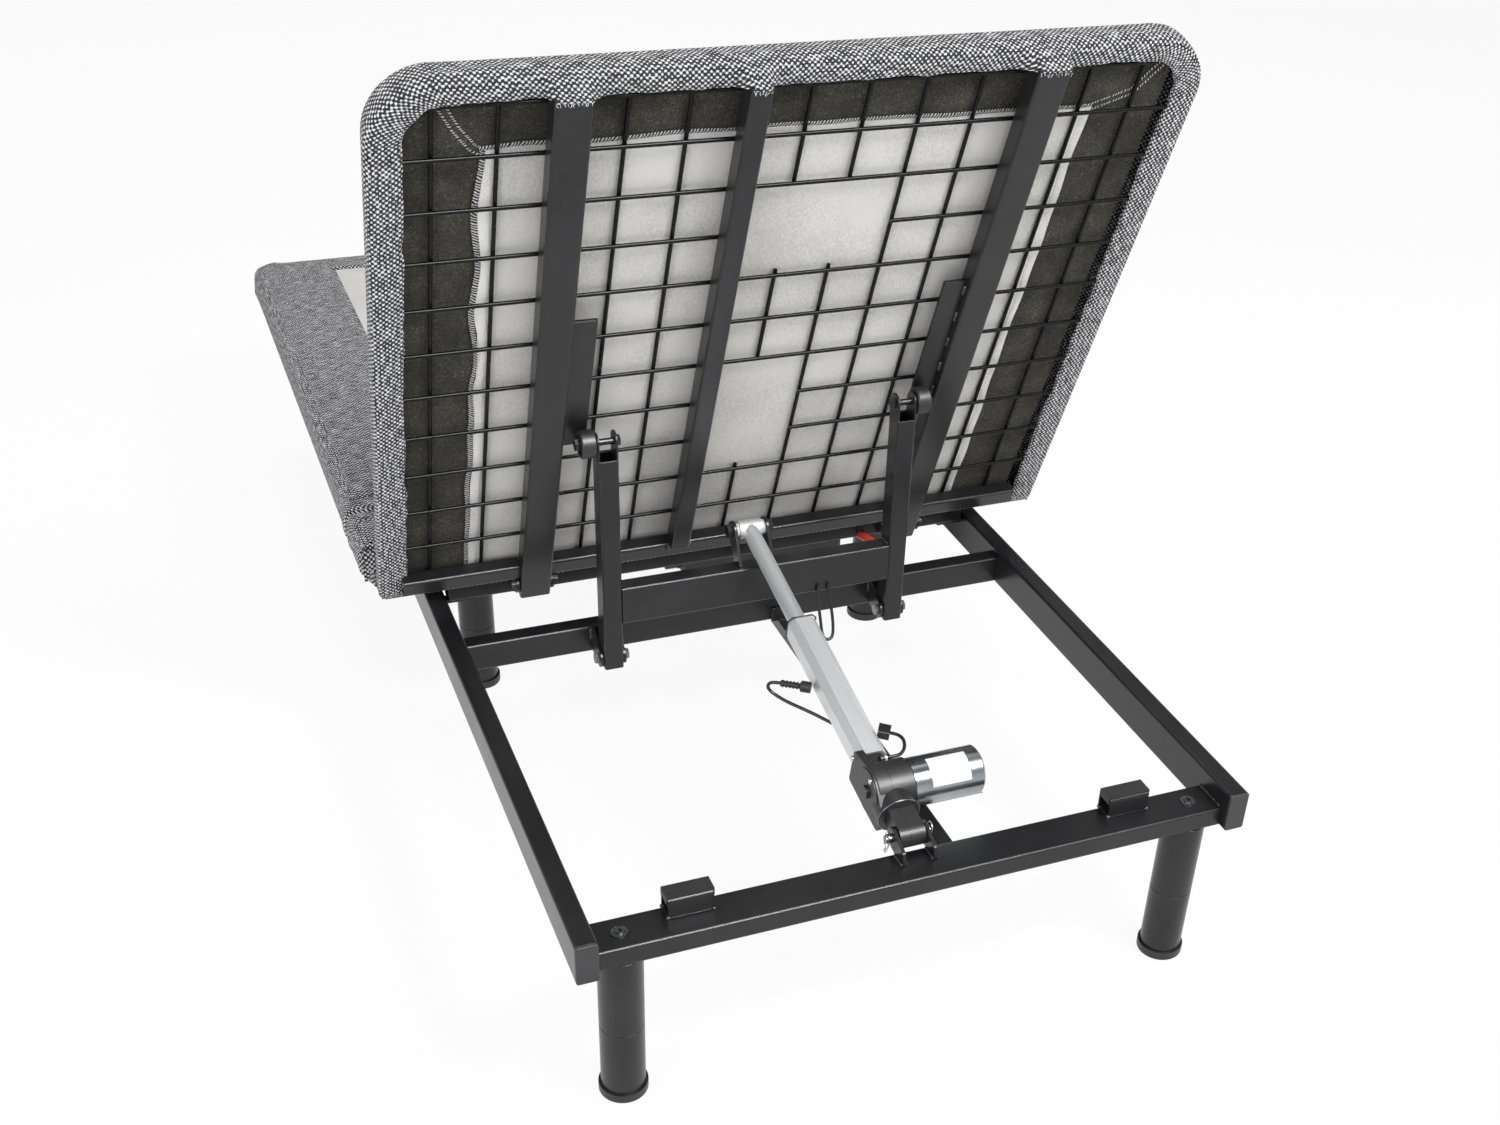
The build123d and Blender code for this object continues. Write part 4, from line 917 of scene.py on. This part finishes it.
def make_cover(name, place, place_back, half, span, corners, tubes, inset, node, body):
    low, high = span
    outer = round_loop(half, low, high, *corners)
    hem_corner = max(HEM_CORNER, corners[1] - HEM_TURN)
    hem = round_loop(half - SIDE_HEM, low + HINGE_HEM, high - END_HEM, HEM_CORNER, hem_corner)
    seam = round_loop(INSET_HALF, *inset, 0.0, 0.0)
    mesh = bmesh.new()
    thread = mesh.loops.layers.uv.new("thread")
    held = mesh.verts.layers.int.new("held")
    lines = rim_lines(outer, hem, tubes, high)
    rim = rim_rows(mesh, place, lines, held)
    deck = deck_rows(mesh, place, lines, seam, held)
    rim_faces = sew(mesh, rim, 0, True)
    deck_faces = sew(mesh, rim[-1:] + deck, 0, True)
    deck_faces += sew(mesh, inset_grid(mesh, place, *inset, held), 1, False)
    lay_rim_threads(rim_faces, thread, outer, rim)
    lay_threads(deck_faces, thread, place_back)
    bmesh.ops.remove_doubles(mesh, verts=mesh.verts, dist=0.02 * MM)
    bmesh.ops.recalc_face_normals(mesh, faces=mesh.faces)
    piece = link_piece(name, mesh, (WEAVE, DECK_CLOTH), None)
    puff(piece)
    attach(piece, body)
    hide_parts(node)


make_cover("head_cover", on_head_cover, head_back, HEAD_HALF, (HEAD_LOW, HEAD_LENGTH),
           (HINGE_CORNER, FAR_CORNER), [(x - HEAD_SHIFT, half) for x, half in HEAD_TUBES],
           (HEAD_LOW + INSET_START, HEAD_LENGTH - INSET_END), "head_pad", "head_panel")
make_cover("leg_cover", on_leg, level_back, LEG_HALF, (LEG_LOW, LEG_LENGTH), (HINGE_CORNER, LEG_CORNER),
           LEG_TUBES, (LEG_LOW + INSET_START, LEG_LENGTH - LEG_INSET_END), "leg_pad", "leg_panel")
make_cover("seat_cover", on_seat, level_back, LEG_HALF, (SEAT_FRONT, SEAT_REAR), (SEAT_CORNER, SEAT_CORNER),
           [], (SEAT_FRONT + SEAT_SEAM, SEAT_REAR - SEAT_SEAM), "seat_pad", "base_frame")

# %% [markdown]
# Between the pads the cloth goes on without a gap. At the leg hinge, where the cloth folds, it is
# pinched into a deep crease.

# %% Cloth across the leg hinge
BRIDGE_LAP = 30 * MM
BRIDGE_STEPS = 64
BRIDGE_SINK = -2.0 * MM
BRIDGE_RISE = 3.4 * MM
CREASE_Y = -49 * MM
CREASE_DEPTH = 17 * MM
CREASE_WIDTH = 3.0 * MM
PALE_REACH = INSET_HALF + 10 * MM
PALE_LEVEL = LEG_HINGE.z + 40 * MM


def leg_bridge():
    """A slice of cover with the rim's outline: its ends dive under the covers, its middle is creased."""
    first = SEAT_REAR - BRIDGE_LAP
    last = LEG_HINGE.y + LEG_LOW + BRIDGE_LAP
    mesh = bmesh.new()
    thread = mesh.loops.layers.uv.new("thread")
    rows = []
    for k in range(BRIDGE_STEPS + 1):
        y = first + (last - first) * k / BRIDGE_STEPS
        inside = min(1.0, min(y - first, last - y) / BRIDGE_LAP)
        lift = BRIDGE_SINK + BRIDGE_RISE * inside * inside * (3 - 2 * inside)
        pinch = CREASE_DEPTH * math.exp(-abs(y - CREASE_Y) / CREASE_WIDTH) - lift
        left = []
        for inset, height in ROLL[2:]:
            top = min(1.0, max(0.0, inset / 10))
            left.append((-LEG_HALF + inset * MM + pinch * (1 - top), UNDER + height * MM - pinch * top))
        flat = [((LEG_HALF - ROLL_END) * (i / 30 - 1), DECK_TOP - pinch) for i in range(1, 60)]
        right = [(-x, h) for x, h in reversed(left)]
        rows.append([mesh.verts.new(on_seat(x, y, h)) for x, h in left + flat + right])
    faces = sew(mesh, rows, 0, False)
    for face in faces:
        if all(abs(vert.co.x) < PALE_REACH and vert.co.z > PALE_LEVEL for vert in face.verts):
            face.material_index = 1
    lay_threads(faces, thread, lambda point: (point.x + point.z, point.y))
    bmesh.ops.recalc_face_normals(mesh, faces=mesh.faces)
    piece = link_piece("leg_crease_cloth", mesh, (WEAVE, DECK_CLOTH), None)
    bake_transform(piece)


leg_bridge()

# %% [markdown]
# At the head hinge the cloth hangs as a gusset with slack sides, which opens when the head lies flat. The
# gap opens more at the top than below, and a blend follows one line only. Each side is cut into level
# strips that overlap.

# %% Gusset at the head hinge
GUSSET_HALF = 475 * MM
GUSSET_LEVELS = [12, 19, 26, 33, 40, 46, 52]
GUSSET_STEPS = 12
GUSSET_STEP = 4 * MM
GUSSET_TUCK = 6 * MM
GUSSET_FOLD = 5 * MM
GUSSET_INSIDE = 4 * MM
GUSSET_LAP = 2 * MM
GUSSET_SAG = 3 * MM
GUSSET_GAP = 1.5 * MM
GUSSET_TOP = DECK_TOP - 6 * MM
GUSSET_BOTTOM = DECK_TOP - 8 * MM
STRIP_ASIDE = 0.3 * MM


def gusset_sides(name, low, high, aside):
    """One level of the gusset's two sides."""
    mesh = bmesh.new()
    thread = mesh.loops.layers.uv.new("thread")
    for side in (-1, 1):
        rows = []
        for k in range(-1, GUSSET_STEPS + 2):
            t = min(1.0, max(0.0, k / GUSSET_STEPS))
            tuck = GUSSET_TUCK if k in (-1, GUSSET_STEPS + 1) else 0.0
            row = []
            for h in (low, high):
                seat = on_seat(side * (LEG_HALF - GUSSET_INSIDE), SEAT_FRONT + tuck, h)
                head = on_head_cover(side * (HEAD_HALF - GUSSET_INSIDE), HEAD_LOW + tuck, h)
                spot = seat.lerp(head, t)
                spot.x -= side * (GUSSET_FOLD * math.sin(math.pi * t) + aside)
                row.append(mesh.verts.new(spot))
            rows.append(row)
        for r, face in enumerate(sew(mesh, rows, 0, False)):
            for corner, mark in zip(face.loops, [(r, low), (r, high), (r + 1, high), (r + 1, low)]):
                corner[thread].uv = (mark[0] * GUSSET_STEP, mark[1])
    piece = link_piece(name, mesh, (WEAVE,), None)
    middle = (low + high) / 2
    on_seat(0, SEAT_FRONT, middle)
    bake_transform(piece)
    return piece


def head_gusset():
    """A plain strip from the front of the seat to the low end of the head pad."""
    top = on_seat(0, SEAT_FRONT - GUSSET_GAP, GUSSET_TOP)
    bottom = on_head(0, HEAD_LOW - GUSSET_GAP, GUSSET_BOTTOM)
    mesh = bmesh.new()
    thread = mesh.loops.layers.uv.new("thread")
    rows = []
    for k in range(GUSSET_STEPS + 1):
        spot = top.lerp(bottom, k / GUSSET_STEPS)
        spot.y -= GUSSET_SAG * math.sin(math.pi * k / GUSSET_STEPS)
        rows.append([mesh.verts.new(spot + Vector((GUSSET_HALF * (i / 30 - 1), 0, 0))) for i in range(61)])
    lay_threads(sew(mesh, rows, 0, False), thread, lambda point: (point.x, point.z))
    piece = link_piece("head_gusset_cloth", mesh, (WEAVE,), None)
    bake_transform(piece)


for level, (low, high) in enumerate(zip(GUSSET_LEVELS, GUSSET_LEVELS[1:])):
    gusset_sides("head_gusset_side_%d" % (level + 1), low * MM, high * MM + GUSSET_LAP,
                                      level % 2 * STRIP_ASIDE)
head_gusset()

# %% [markdown]
# Seen from below, the rim's felt backing and the pale cloth of the deck show through the wires. Both are
# sheets pulled over the board. The pale one sags a little between the wires, which is a product of two
# sine waves with the wires' spacing.

# %% Sheets behind the wires
WIRE_PITCH = 66.3 * MM
FELT_HEIGHT = 24.7 * MM
CLOTH_HEIGHT = 23.4 * MM
CLOTH_SAG = 1.2 * MM
CLOTH_RIPPLE = 0.5 * MM
FELT_HALF = 438 * MM
CLOTH_HALF = 345 * MM
SHEET_CELL = 11 * MM
FELT_LOW = 10 * MM
FELT_FAR = 27 * MM
CLOTH_LOW = 14 * MM
SEAT_FELT_EDGE = 8 * MM
HEAD_FIRST_ROW = 87.05 * MM
LEG_FIRST_ROW = 77.3 * MM


def back_sheet(name, place, half, span, height, sag, first_row, finish, body, node):
    low, high = span
    columns = round(2 * half / SHEET_CELL)
    lines = round((high - low) / SHEET_CELL)
    mesh = bmesh.new()
    rows = []
    for j in range(lines + 1):
        s = low + (high - low) * j / lines
        row = []
        for i in range(columns + 1):
            x = half * (2 * i / columns - 1)
            belly = abs(math.sin(math.pi * x / WIRE_PITCH) * math.sin(math.pi * (s - first_row) / WIRE_PITCH))
            ripple = wander(x, s, 22, 5.0) * CLOTH_RIPPLE
            row.append(mesh.verts.new(place(x, s, height + ripple - sag * belly)))
        rows.append(row)
    sew(mesh, rows, 0, False)
    piece = link_piece(name, mesh, (finish,), body)
    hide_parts(node)


for panel, place, low, length, first_row in (("head", on_head, HEAD_LOW, HEAD_LENGTH, HEAD_FIRST_ROW),
                                             ("leg", on_leg, LEG_LOW, LEG_LENGTH, LEG_FIRST_ROW)):
    back_sheet(panel + "_felt", place, FELT_HALF, (low + FELT_LOW, length - FELT_FAR), FELT_HEIGHT, 0.0,
               first_row, FELT, panel + "_panel", panel + "_pad")
    back_sheet(panel + "_under_cloth", place, CLOTH_HALF, (low + CLOTH_LOW, length - INSET_END), CLOTH_HEIGHT,
               CLOTH_SAG, first_row, UNDER_CLOTH, panel + "_panel", panel + "_pad")
back_sheet("seat_felt", on_seat, FELT_HALF, (SEAT_FRONT + SEAT_FELT_EDGE, SEAT_REAR - SEAT_FELT_EDGE),
           FELT_HEIGHT, 0.0, SEAT_FRONT, FELT, "base_frame", "seat_pad")

# %% [markdown]
# Along the edge of the pale cloth the seam allowance is left open: a bright folded strip, and beside it
# the raw edge of the weave, overlocked in black and white. At the far corners the rim is mitred, and the
# mitre's allowance runs out to the corner as a dark band with two stitched edges. Each is a ribbon,
# written in millimetres: its line, its width and how far it sways.

# %% Seam allowances
SEAM_STEP = 5 * MM
STRIP_HEIGHT = 22.7 * MM
STITCH_HEIGHT = 22.2 * MM
BAND_HEIGHT = 24.0 * MM
BAND_STITCH_HEIGHT = 23.6 * MM
RIBBON_CROWN = 0.7 * MM
FOLDED, STITCHED, BAND = 0, 1, 2


def add_ribbon(mesh, thread, place, corners, width, height, wave, finish, aside=0.0):
    """A strip along, or aside of, a line of (x, s) places; it sways, and its threads run along it."""
    corners = [Vector((x * MM, s * MM)) for x, s in corners]
    width, wave, aside = width * MM, wave * MM, aside * MM
    spots = []
    for a, b in zip(corners, corners[1:]):
        count = max(1, round((b - a).length / SEAM_STEP))
        spots += [a.lerp(b, k / count) for k in range(count)]
    spots.append(corners[-1])
    rows = []
    for index, spot in enumerate(spots):
        ahead = spots[min(index + 1, len(spots) - 1)] - spots[max(index - 1, 0)]
        side = Vector((-ahead.y, ahead.x)).normalized()
        sway = wander(*spot, 14, 2.0) * wave
        broad = width * (1 + 0.5 * wander(*spot, 9, 7.0))
        row = []
        for share in (-0.5, 0.0, 0.5):
            place_now = spot + side * (broad * share + sway + aside)
            row.append(mesh.verts.new(place(*place_now, height - (RIBBON_CROWN if share == 0.0 else 0.0))))
        rows.append(row)
    for index, face in enumerate(sew(mesh, rows, finish, False)):
        r, i = divmod(index, 2)
        marks = [(r, i), (r, i + 1), (r + 1, i + 1), (r + 1, i)]
        for corner, (along, across) in zip(face.loops, marks):
            corner[thread].uv = (along * SEAM_STEP, across * width / 2)


def seam_allowance(name, place, low, length, body):
    foot = low / MM + 14
    top = length / MM - INSET_END / MM
    strips = [([(-341, foot), (-340, top - 6)], 12, 7), ([(-344, top - 5), (344, top - 5)], 8, 4),
              ([(335, foot), (335, top - 6)], 6, 2), ([(344, foot), (344, top - 2)], 9, 4)]
    edges = [([(-350, foot), (-349, top - 2)], 6, 7), ([(-349, top + 1.5), (349, top + 1.5)], 5, 4)]
    mitres = [[(-346, top - 6), (-356, top), (-372, top + 23), (-386, top + 50)],
              [(346, top - 5), (374, top + 5), (397, top + 14), (425, top + 50)]]
    mesh = bmesh.new()
    thread = mesh.loops.layers.uv.new("thread")
    for line, width, wave in strips:
        add_ribbon(mesh, thread, place, line, width, STRIP_HEIGHT, wave, FOLDED)
    for line, width, wave in edges:
        add_ribbon(mesh, thread, place, line, width, STITCH_HEIGHT, wave, STITCHED)
    for line in mitres:
        add_ribbon(mesh, thread, place, line, 8, BAND_HEIGHT, 1.0, BAND)
        for aside in (-4, 4):
            add_ribbon(mesh, thread, place, line, 2.6, BAND_STITCH_HEIGHT, 1.0, STITCHED, aside)
    link_piece(name, mesh, (FOLD_CLOTH, OVERLOCK, FELT), body)


seam_allowance("head_seams", on_head, HEAD_LOW, HEAD_LENGTH, "head_panel")
seam_allowance("leg_seams", on_leg, LEG_LOW, LEG_LENGTH, "leg_panel")

# %% [markdown]
# The cut edge over each tube's end is not hemmed, so yarns hang out of it. They could be hair, but a few
# dozen short crooked strands are enough, and a mesh is exported as it stands.

# %% Frayed yarn at the tube ends
YARN_SPACING = 1.7 * MM
YARN_RADIUS = 0.45 * MM


def fray(name, place, length, tubes, body):
    mesh = bmesh.new()
    for tube, half in tubes:
        for k in range(round(half * 2 / YARN_SPACING)):
            x = tube - half + k * YARN_SPACING
            spot = Vector((x, length - TENT_HEM + random.uniform(-1, 2) * MM, TUBE_FACE - 0.2 * MM))
            points = []
            for _ in range(4):
                points.append(place(*spot))
                spot += Vector((random.uniform(-1.4, 1.4), random.uniform(-2.4, -0.6),
                                random.uniform(-0.7, 0.3))) * MM
            add_strand(mesh, points, YARN_RADIUS, 5, 0.3, k % 2)
    link_piece(name, mesh, (YARN_DARK, YARN_PALE), body)


fray("head_frayed_yarn", on_head, HEAD_LENGTH, HEAD_TUBES, "head_panel")
fray("leg_frayed_yarn", on_leg, LEG_LENGTH, LEG_TUBES, "leg_panel")

# %% [markdown]
# The frame is welded by hand, in short beads, and then coated. A bead is a rippled strand in the corner
# of two pieces: at the ends of the cross rails, at the bumper stubs, at the arm brackets, at the feet of
# the ears that hold each actuator's rear pin, and along the roller tracks. A bump in the coat could
# suggest it, but only a real shape shows in the outline.

# %% Weld beads
WELD_RIPPLE = 1.6 * MM
RAIL_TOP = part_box("seat_cross_rail")[1].z
BUMPER_MIDDLE = 10.5 * MM
BUMPER_SIDES = (-291.5, -240.5, 240.5, 291.5)
BUMPER_FACES = (-11.5, 9.0)
BRACKET_SIDES = (-214, -180, 180, 214)
BRACKET_WELD = (222 * MM, 238 * MM)
EAR_SIDES = (-21.8, -16.2, 16.2, 21.8)
EAR_WELD = 22 * MM
MID_TUBE_WELDS = (-14, -5, 5, 14)
TRACK_SIDE = 244.2 * MM
HEAD_TRACK = (261.5, 461.5)
LEG_TRACK = (385, 650)


def add_weld(mesh, start, end, radius):
    start = Vector(start)
    end = Vector(end)
    count = max(4, round((end - start).length / WELD_RIPPLE))
    add_strand(mesh, [start.lerp(end, k / count) for k in range(count + 1)], radius * MM, 8, 0.5, 0)


def frame_welds():
    mesh = bmesh.new()
    for node in ("head_cross_rail", "foot_cross_rail"):
        low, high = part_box(node)
        for side in (-1, 1):
            end = side * (high.x - 0.8 * MM)
            level = RAIL_TOP + 0.5 * MM
            add_weld(mesh, (end, low.y + 4 * MM, level), (end, high.y - 4 * MM, level), 1.8)
    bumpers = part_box("bumper_caps")
    for middle in (bumpers[0].y + BUMPER_MIDDLE, bumpers[1].y - BUMPER_MIDDLE):
        for x in BUMPER_SIDES:
            for y in BUMPER_FACES:
                spot = Vector((x * MM, middle + y * MM, RAIL_TOP + 0.8 * MM))
                add_weld(mesh, spot - Vector((0, 3 * MM, 0)), spot + Vector((0, 3 * MM, 0)), 2.4)
    for face in (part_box("head_lift_rail")[0].y - 1.0 * MM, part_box("leg_lift_rail")[1].y + 1.0 * MM):
        for x in BRACKET_SIDES:
            add_weld(mesh, *[(x * MM, face, level) for level in BRACKET_WELD], 2.2)
    link_piece("frame_weld_beads", mesh, (WELD_WITH_PAINTED_HIGHLIGHT,), "base_frame")


def ear_welds():
    mesh = bmesh.new()
    low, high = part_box("actuator_ears")
    for edge, run in ((low.y, EAR_WELD), (high.y, -EAR_WELD)):
        for x in EAR_SIDES:
            start = Vector((x * MM, edge + math.copysign(1.5 * MM, run), low.z + 0.6 * MM))
            add_weld(mesh, start, start + Vector((0, run, 0)), 1.8)
    link_piece("ear_weld_beads", mesh, (WELD_WITH_PAINTED_HIGHLIGHT,), "base_frame")


def panel_welds(name, place, mid_x, track, body):
    """Beads at the foot of the middle tube and along both roller tracks."""
    mesh = bmesh.new()
    for x in MID_TUBE_WELDS:
        spot = Vector((mid_x / MM + x, 38.5, -5.6)) * MM
        add_weld(mesh, *[place(*(spot + Vector((reach * MM, 0, 0)))) for reach in (-4, 4)], 2.4)
    low, high = track
    count = round((high - low) / 46)
    for side in (-1, 1):
        for k in range(count + 1):
            s = low + 8 + (high - low - 30) * k / count
            add_weld(mesh, *[place(side * TRACK_SIDE, (s + step) * MM, -3.2 * MM) for step in (0, 14)], 2.3)
    link_piece(name, mesh, (WELD_WITH_PAINTED_HIGHLIGHT,), body)


frame_welds()
ear_welds()
panel_welds("head_weld_beads", on_head, HEAD_MID, HEAD_TRACK, "head_panel")
panel_welds("leg_weld_beads", on_leg, LEG_MID, LEG_TRACK, "leg_panel")

# %% [markdown]
# The lift arms: the crossbar is welded between them, and the actuator's eye sits in a clevis whose pin is
# riveted over bright washers. The same pieces are on both arms, so they take their places from each arm.

# %% Arm welds and clevis rivets
CROSSBAR_EDGES = (53.2, 106.8)
CROSSBAR_DEPTH = (-9, 14)
CROSSBAR_END = 183.6 * MM
CLEVIS_REACH = 24.3 * MM
CLEVIS_HEAD = [(6.6, 0.0), (6.6, 1.0), (4.6, 1.1), (4.6, 2.2), (3.4, 2.9), (0.8, 3.1)]


def arm_welds(name, place, body):
    mesh = bmesh.new()
    for side in (-1, 1):
        for high in CROSSBAR_EDGES:
            ends = [place(side * CROSSBAR_END, back * MM, high * MM) for back in CROSSBAR_DEPTH]
            add_weld(mesh, *ends, 2.0)
    link_piece(name, mesh, (WELD_WITH_PAINTED_HIGHLIGHT,), body)


def clevis_rivets(name, node, body):
    """Bright washers and rivet heads at both ends of the clevis pin; the pin is the bushes' axis."""
    low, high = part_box(node)
    centre = (low + high) / 2
    mesh = bmesh.new()
    for side in (-1, 1):
        add_turned(mesh, centre + Vector((side * CLEVIS_REACH, 0, 0)), Vector((side, 0, 0)), CLEVIS_HEAD, 0)
    link_piece(name, mesh, (BRIGHT,), body)


for unit, place in (("head", on_arm), ("leg", on_leg_arm)):
    arm_welds(unit + "_arm_weld_beads", place, unit + "_lift_arm")
for unit in ("head", "leg"):
    clevis_rivets(unit + "_clevis_rivets", unit + "_rod_bushes", unit + "_lift_arm")

# %% [markdown]
# Small fittings on the actuators. On the side plate two bright screws hold the gearbox halves; a wire
# ring closes the cup; a spring clip and a split ring keep the rear pin; a ferrule grips the lead. The
# motor is a rolled can with a plain paper label and a row of crimp marks where the seam was closed; the
# shade in each crimp is painted as a small black dot. Most of it is round, so strands and turned pieces
# make it; the label is a strip bent round the can.

# %% Fittings on the actuators
SCREW_HEAD = [(3.3, 0.0), (3.3, 1.0), (2.7, 1.6), (0.7, 1.8)]
# A black dot of painted shade for each crimp dent in the zinc can.
CRIMP_SHADE_DOT = [(1.5, 0.0), (1.3, 0.6), (0.6, 0.8)]
FERRULE = [(4.7, 0.0), (4.9, 0.6), (4.9, 2.6), (4.2, 3.2), (2.4, 3.3)]
DRIVE_SCREWS = [(112.5, 13.5), (63.5, 27.0)]
SIDE_PLATE = -25 * MM
CAN_CENTRE = (70, 2)
CAN_RADIUS = 29.0
LABEL_X = (47, 96)
LABEL_TURN = (78, 151)
LABEL_STEPS = 18
CRIMP_TURN = 210
CRIMPS = 17
CUP_RING = 25.2
CUP_ALONG = 29.5
TUBE_END = 345.2
TUBE_MOUTH = [(-18.4, -13), (-18.4, 13), (-13, 18.4), (13, 18.4), (18.4, 13), (18.4, -13), (13, -18.4),
              (-13, -18.4), (-18.4, -13)]
CLIP_X = -26.5
SPLIT_RING_X = 24.5


def in_mm(place, *values):
    return place(*(value * MM for value in values))


def on_can(place, x, turn, lift):
    angle = math.radians(turn)
    radius = CAN_RADIUS + lift
    return in_mm(place, x, CAN_CENTRE[0] + radius * math.cos(angle), CAN_CENTRE[1] + radius * math.sin(angle))


def can_label(name, place, body):
    mesh = bmesh.new()
    rows = []
    for k in range(LABEL_STEPS + 1):
        turn = LABEL_TURN[0] + (LABEL_TURN[1] - LABEL_TURN[0]) * k / LABEL_STEPS
        rows.append([mesh.verts.new(on_can(place, x, turn, 0.2)) for x in LABEL_X])
    sew(mesh, rows, 0, False)
    link_piece(name, mesh, (PAPER,), body)


def drive_fittings(name, place, body):
    """Screws, the ring round the cup, the crimps' painted shade as black dots on the can, and the dark rim of the
    tube's mouth.
    """
    mesh = bmesh.new()
    across = place(-1, 0, 0) - place(0, 0, 0)
    for along, up in DRIVE_SCREWS:
        add_turned(mesh, place(SIDE_PLATE, along * MM, up * MM), across, SCREW_HEAD, 0)
    turns = [2 * math.pi * k / 40 for k in range(41)]
    loop = [in_mm(place, CUP_RING * math.cos(a), CUP_ALONG, CUP_RING * math.sin(a)) for a in turns]
    add_strand(mesh, loop, 0.8 * MM, 8, 0.0, 2)
    for k in range(CRIMPS):
        x = 50 + 4 * k
        outward = on_can(place, x, CRIMP_TURN, 5) - on_can(place, x, CRIMP_TURN, 0)
        # The crimps are dents in the zinc; these black dots are painted shade.
        add_turned(mesh, on_can(place, x, CRIMP_TURN, -0.4), outward, CRIMP_SHADE_DOT, 1)
    add_strand(mesh, [in_mm(place, x, TUBE_END, up) for x, up in TUBE_MOUTH], 1.1 * MM, 8, 0.0, 1)
    link_piece(name, mesh, (BRIGHT, NYLON, GREY_ZINC_AND_PAINTED_HIGHLIGHT), body)


def pin_clips(name, place):
    """A spring clip at one end of the rear pin and a split ring at the other."""
    mesh = bmesh.new()
    wavy = [(2.5 + 3.2 * math.sin(k / 24 * 4 * math.pi), 7 - 27 * k / 24) for k in range(25)]
    bowed = [(-3.0 - 2.0 * math.sin(math.pi * k / 8), -20 + 28 * k / 8) for k in range(9)]
    clip = [in_mm(place, CLIP_X, along, up) for along, up in wavy + bowed]
    add_strand(mesh, clip, 0.9 * MM, 7, 0.0, 0)
    turns = [2 * math.pi * k / 24 for k in range(25)]
    loop = [in_mm(place, SPLIT_RING_X + math.sin(a), 6.5 * math.cos(a), 4 + 7.5 * math.sin(a)) for a in turns]
    add_strand(mesh, loop, 0.8 * MM, 7, 0.0, 0)
    link_piece(name, mesh, (BRIGHT,), "base_frame")


def lead_ferrule():
    mesh = bmesh.new()
    across = on_drive(1, 0, 0) - on_drive(0, 0, 0)
    add_turned(mesh, in_mm(on_drive, 7.2, 98.3, 20), across, FERRULE, 0)
    link_piece("lead_ferrule", mesh, (BRIGHT,), "head_drive")


DRIVES = (("head", on_drive), ("leg", on_leg_drive))
for unit, place in DRIVES:
    can_label(unit + "_motor_label", place, unit + "_drive")
for unit, place in DRIVES:
    drive_fittings(unit + "_drive_fittings", place, unit + "_drive")
for unit, place in DRIVES:
    pin_clips(unit + "_pin_clips", place)
lead_ferrule()

# %% [markdown]
# Behind the crossbar the control box shows. It has a ribbed gland on its left, and on its right a
# capacitor with a red sleeve stands out beside the arm. Both are turned pieces, like the screws.

# %% Fittings of the control box
GLAND_RIBS = 6
CAPACITOR_FOOT = Vector((196, -142, 238)) * MM
CAPACITOR_NECK = Vector((213, -174, 246)) * MM
CAPACITOR_TIP = Vector((224, -213, 247)) * MM


def box_fittings():
    mesh = bmesh.new()
    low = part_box("control_box")[0]
    ribs = [(7.0, 0.0), (7.0, 3.0)]
    for k in range(GLAND_RIBS):
        ribs += [(6.2, 3.4 + 3 * k), (6.2, 4.6 + 3 * k), (4.6, 5.0 + 3 * k), (4.6, 6.0 + 3 * k)]
    add_turned(mesh, low + Vector((1, 52, 7)) * MM, Vector((-1, 0, 0)), ribs, 0)
    stem = CAPACITOR_NECK - CAPACITOR_FOOT
    add_turned(mesh, CAPACITOR_FOOT, stem, [(6.5, 0.0), (6.5, stem.length / MM)], 0)
    sleeve = CAPACITOR_TIP - CAPACITOR_NECK
    end = sleeve.length / MM
    add_turned(mesh, CAPACITOR_NECK, sleeve, [(5.6, -1.0), (6.0, 0.0), (6.0, end - 2), (4.8, end)], 1)
    link_piece("control_box_fittings", mesh, (NYLON, RED_SLEEVE), "base_frame")


box_fittings()
